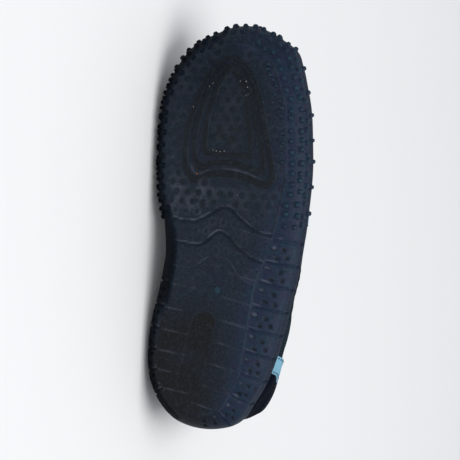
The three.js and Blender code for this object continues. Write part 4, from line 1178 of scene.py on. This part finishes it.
def holes(net, across, along):
    """A product of two cosines, which swings from -1 to 1 over repeats of across by along millimetres."""
    place = net.surface((100.0 / across, 100.0 / along, 1))
    split = net.node("SeparateXYZ", {"Vector": place})
    a = net.math("COSINE", net.math("MULTIPLY", split.outputs[0], FULL_TURN))
    b = net.math("COSINE", net.math("MULTIPLY", split.outputs[1], FULL_TURN))
    return net.math("MULTIPLY", a, b)


def mesh_fabric():
    """Open knit outside, jersey lining inside, told apart by the lining value."""
    net = Net("navy_mesh")
    space = net.object_space()
    knit_holes = net.math("ABSOLUTE", holes(net, 2.6, 3.0))
    yarn = net.ramp(knit_holes, 0.42, 0.72)
    fuzz = net.noise(space, 1500.0, 3.0, 0.6)
    cloud = net.noise(space, 30.0, 3.0)
    outside = net.mix(yarn, (0.0110, 0.0190, 0.0300, 1), (0.0010, 0.0016, 0.0026, 1))
    # Painted glints: pale teal spots where the yarns cross.
    glint = net.math("MULTIPLY", net.ramp(knit_holes, 0.26, 0.04), net.ramp(cloud, 0.3, 0.6))
    outside = net.mix(net.math("MULTIPLY", glint, 0.8), outside, (0.055, 0.100, 0.130, 1))
    rows = holes(net, 1.2, 1.2)
    inside = net.mix(net.ramp(rows, -0.6, 0.8), (0.0150, 0.0180, 0.0230, 1), (0.0260, 0.0300, 0.0370, 1))
    colour = net.mix(net.value("lining"), outside, inside)
    height = net.mix(net.value("lining"), net.math("SUBTRACT", 1.0, yarn), net.ramp(rows, -1, 1))
    height = net.math("ADD", height, net.math("MULTIPLY", fuzz, 0.35))
    return net.finish(Base_Color=colour, Roughness=0.8, Normal=net.bump(height, 0.00055, 0.9),
                      Specular_IOR_Level=0.06)


# %% Rib knit
def knit_fabric():
    """Rib knit: a sine along each rib, slanted both ways from its middle, gives small V shaped loops."""
    net = Net("navy_knit")
    place = net.node("SeparateXYZ", {"Vector": net.surface((100.0, 100.0, 1))})
    across_rib = net.math("FRACT", net.math("MULTIPLY", place.outputs[0], 2 / KNIT_RIB))
    slant = net.math("ABSOLUTE", net.math("SUBTRACT", across_rib, 0.5))
    loops = net.math("SINE", net.math("MULTIPLY", net.math("ADD", place.outputs[1], slant), FULL_TURN / 0.9))
    fuzz = net.noise(net.object_space(), 1800.0, 3.0, 0.6)
    cloud = net.noise(net.object_space(), 45.0, 3.0)
    height = net.math("ADD", net.math("MULTIPLY", loops, 0.3), net.math("MULTIPLY", fuzz, 0.5))
    colour = net.mix(net.ramp(height, -0.1, 0.6), (0.0012, 0.0020, 0.0060, 1), (0.0040, 0.0056, 0.0140, 1))
    rubbed = net.math("MULTIPLY", net.ramp(cloud, 0.45, 0.75), 0.4)
    colour = net.mix(rubbed, colour, (0.0045, 0.0065, 0.0150, 1))
    return net.finish(Base_Color=colour, Roughness=0.85, Normal=net.bump(height, 0.00025, 0.8),
                      Specular_IOR_Level=0.03)


# %% Plain weave, and each fabric on its pieces
def woven(name, dark, light, across=0.9, dirt=0.3):
    """Plain weave: two sets of yarns over and under each other."""
    net = Net(name)
    weave = holes(net, across * 2, across * 2)
    fuzz = net.noise(net.object_space(), 1600.0, 3.0, 0.6)
    cloud = net.noise(net.object_space(), 90.0, 4.0)
    height = net.math("ADD", net.math("ABSOLUTE", weave), net.math("MULTIPLY", fuzz, 0.3))
    colour = net.mix(net.ramp(height, 0.05, 0.75), dark, light)
    stain = tuple(0.55 * c for c in dark[:3]) + (1,)
    colour = net.mix(net.math("MULTIPLY", net.ramp(cloud, 0.5, 0.75), dirt), colour, stain)
    return net.finish(Base_Color=colour, Roughness=0.8, Normal=net.bump(height, 0.00022, 0.8),
                      Specular_IOR_Level=0.06)


finish_piece(upper, mesh_fabric(), "mesh", "upper")
finish_piece(knit, knit_fabric(), "knit", "heel_panel")
pale = woven("pale_tape", (0.150, 0.330, 0.450, 1), (0.270, 0.540, 0.700, 1))
for piece, node in tapes:
    finish_piece(piece, pale, "tape", node)
dark_binding = woven("binding_tape", (0.0030, 0.0044, 0.0090, 1), (0.0075, 0.0100, 0.0180, 1))
finish_piece(binding, dark_binding, "knit", "collar_binding")
dark_thread = woven("dark_thread", (0.0060, 0.0110, 0.0200, 1), (0.0170, 0.0280, 0.0420, 1), 0.3)
finish_piece(threads, dark_thread, "knit")
sock_cloth = woven("sock_cloth", (0.0190, 0.0220, 0.0270, 1), (0.0420, 0.0470, 0.0540, 1), 0.7, 0.2)
finish_piece(insole, sock_cloth, "foam", "insole")

# %% [markdown]
# ## Floor and light
# A plain pale floor under a pale sky, as in a product picture, with one large soft lamp. It hangs above
# and a little in front of the shoe, so that it grazes the tread and lights the outer side.

# %% Floor
floor = bpy.data.objects.new("floor", bpy.data.meshes.new("floor"))
floor.data.from_pydata([(-6, -6, 0), (6, -6, 0), (6, 6, 0), (-6, 6, 0)], [], [(0, 1, 2, 3)])
bpy.context.collection.objects.link(floor)
net = Net("pale_floor")
grey = net.mix(net.noise(net.object_space(), 3.0), (0.90, 0.90, 0.90, 1), (0.92, 0.92, 0.92, 1))
floor.data.materials.append(net.finish(Base_Color=grey, Roughness=0.9, Specular_IOR_Level=0.1))

# %% Sky and lamp
SKY_COLOUR, SKY_STRENGTH, LAMP_SIZE, LAMP_POWER = (0.93, 0.96, 1.0, 1), 0.53, 1.1, 14.6
world = bpy.data.worlds.new("studio")
bpy.context.scene.world = world
world.use_nodes = True
sky = world.node_tree.nodes["Background"]
sky.inputs["Color"].default_value = SKY_COLOUR
sky.inputs["Strength"].default_value = SKY_STRENGTH

lamp_data = bpy.data.lights.new("overhead", "AREA")
lamp_data.shape, lamp_data.size, lamp_data.energy = "SQUARE", LAMP_SIZE, LAMP_POWER
lamp = bpy.data.objects.new("overhead", lamp_data)
lamp.location = (0.15, -0.35, 1.5)
lamp.rotation_euler = (Vector((0, 0, 0.03)) - lamp.location).to_track_quat("-Z", "Y").to_euler()
bpy.context.collection.objects.link(lamp)

# %% [markdown]
# ## Camera
# The camera looks at the tread from a little to the outer side, from well away, so that the sole keeps
# its true proportions. It is rolled until the toe points up the picture, though the shoe lies down.

# %% Camera
VIEW_TURN, VIEW_LEAN, DISTANCE, FRAME_WIDTH = 23.0, 4.2, 1.5, 0.289
turn = np.radians(VIEW_TURN)
back = Vector(LAID @ np.array([-np.sin(turn), 0.0, -np.cos(turn)])).normalized()
toe_way = Vector(LAID @ np.array([0.0, 1.0, 0.0]))
up = (toe_way - back * toe_way.dot(back)).normalized()
right = up.cross(back).normalized()
lean = np.radians(VIEW_LEAN)
up, right = up * np.cos(lean) - right * np.sin(lean), right * np.cos(lean) + up * np.sin(lean)
camera = bpy.data.objects.new("camera", bpy.data.cameras.new("camera"))
bpy.context.collection.objects.link(camera)
target = Vector(laid(np.array([[-8.6, 126.4, 10.0]]))[0])
facing = Matrix((right, up, back)).transposed().to_4x4()
camera.matrix_world = Matrix.Translation(target + back * DISTANCE) @ facing
camera.data.sensor_width = 36.0
camera.data.lens = camera.data.sensor_width * DISTANCE / FRAME_WIDTH
camera.data.clip_end = 20.0
bpy.context.scene.camera = camera
bpy.context.scene.view_settings.view_transform = "Standard"
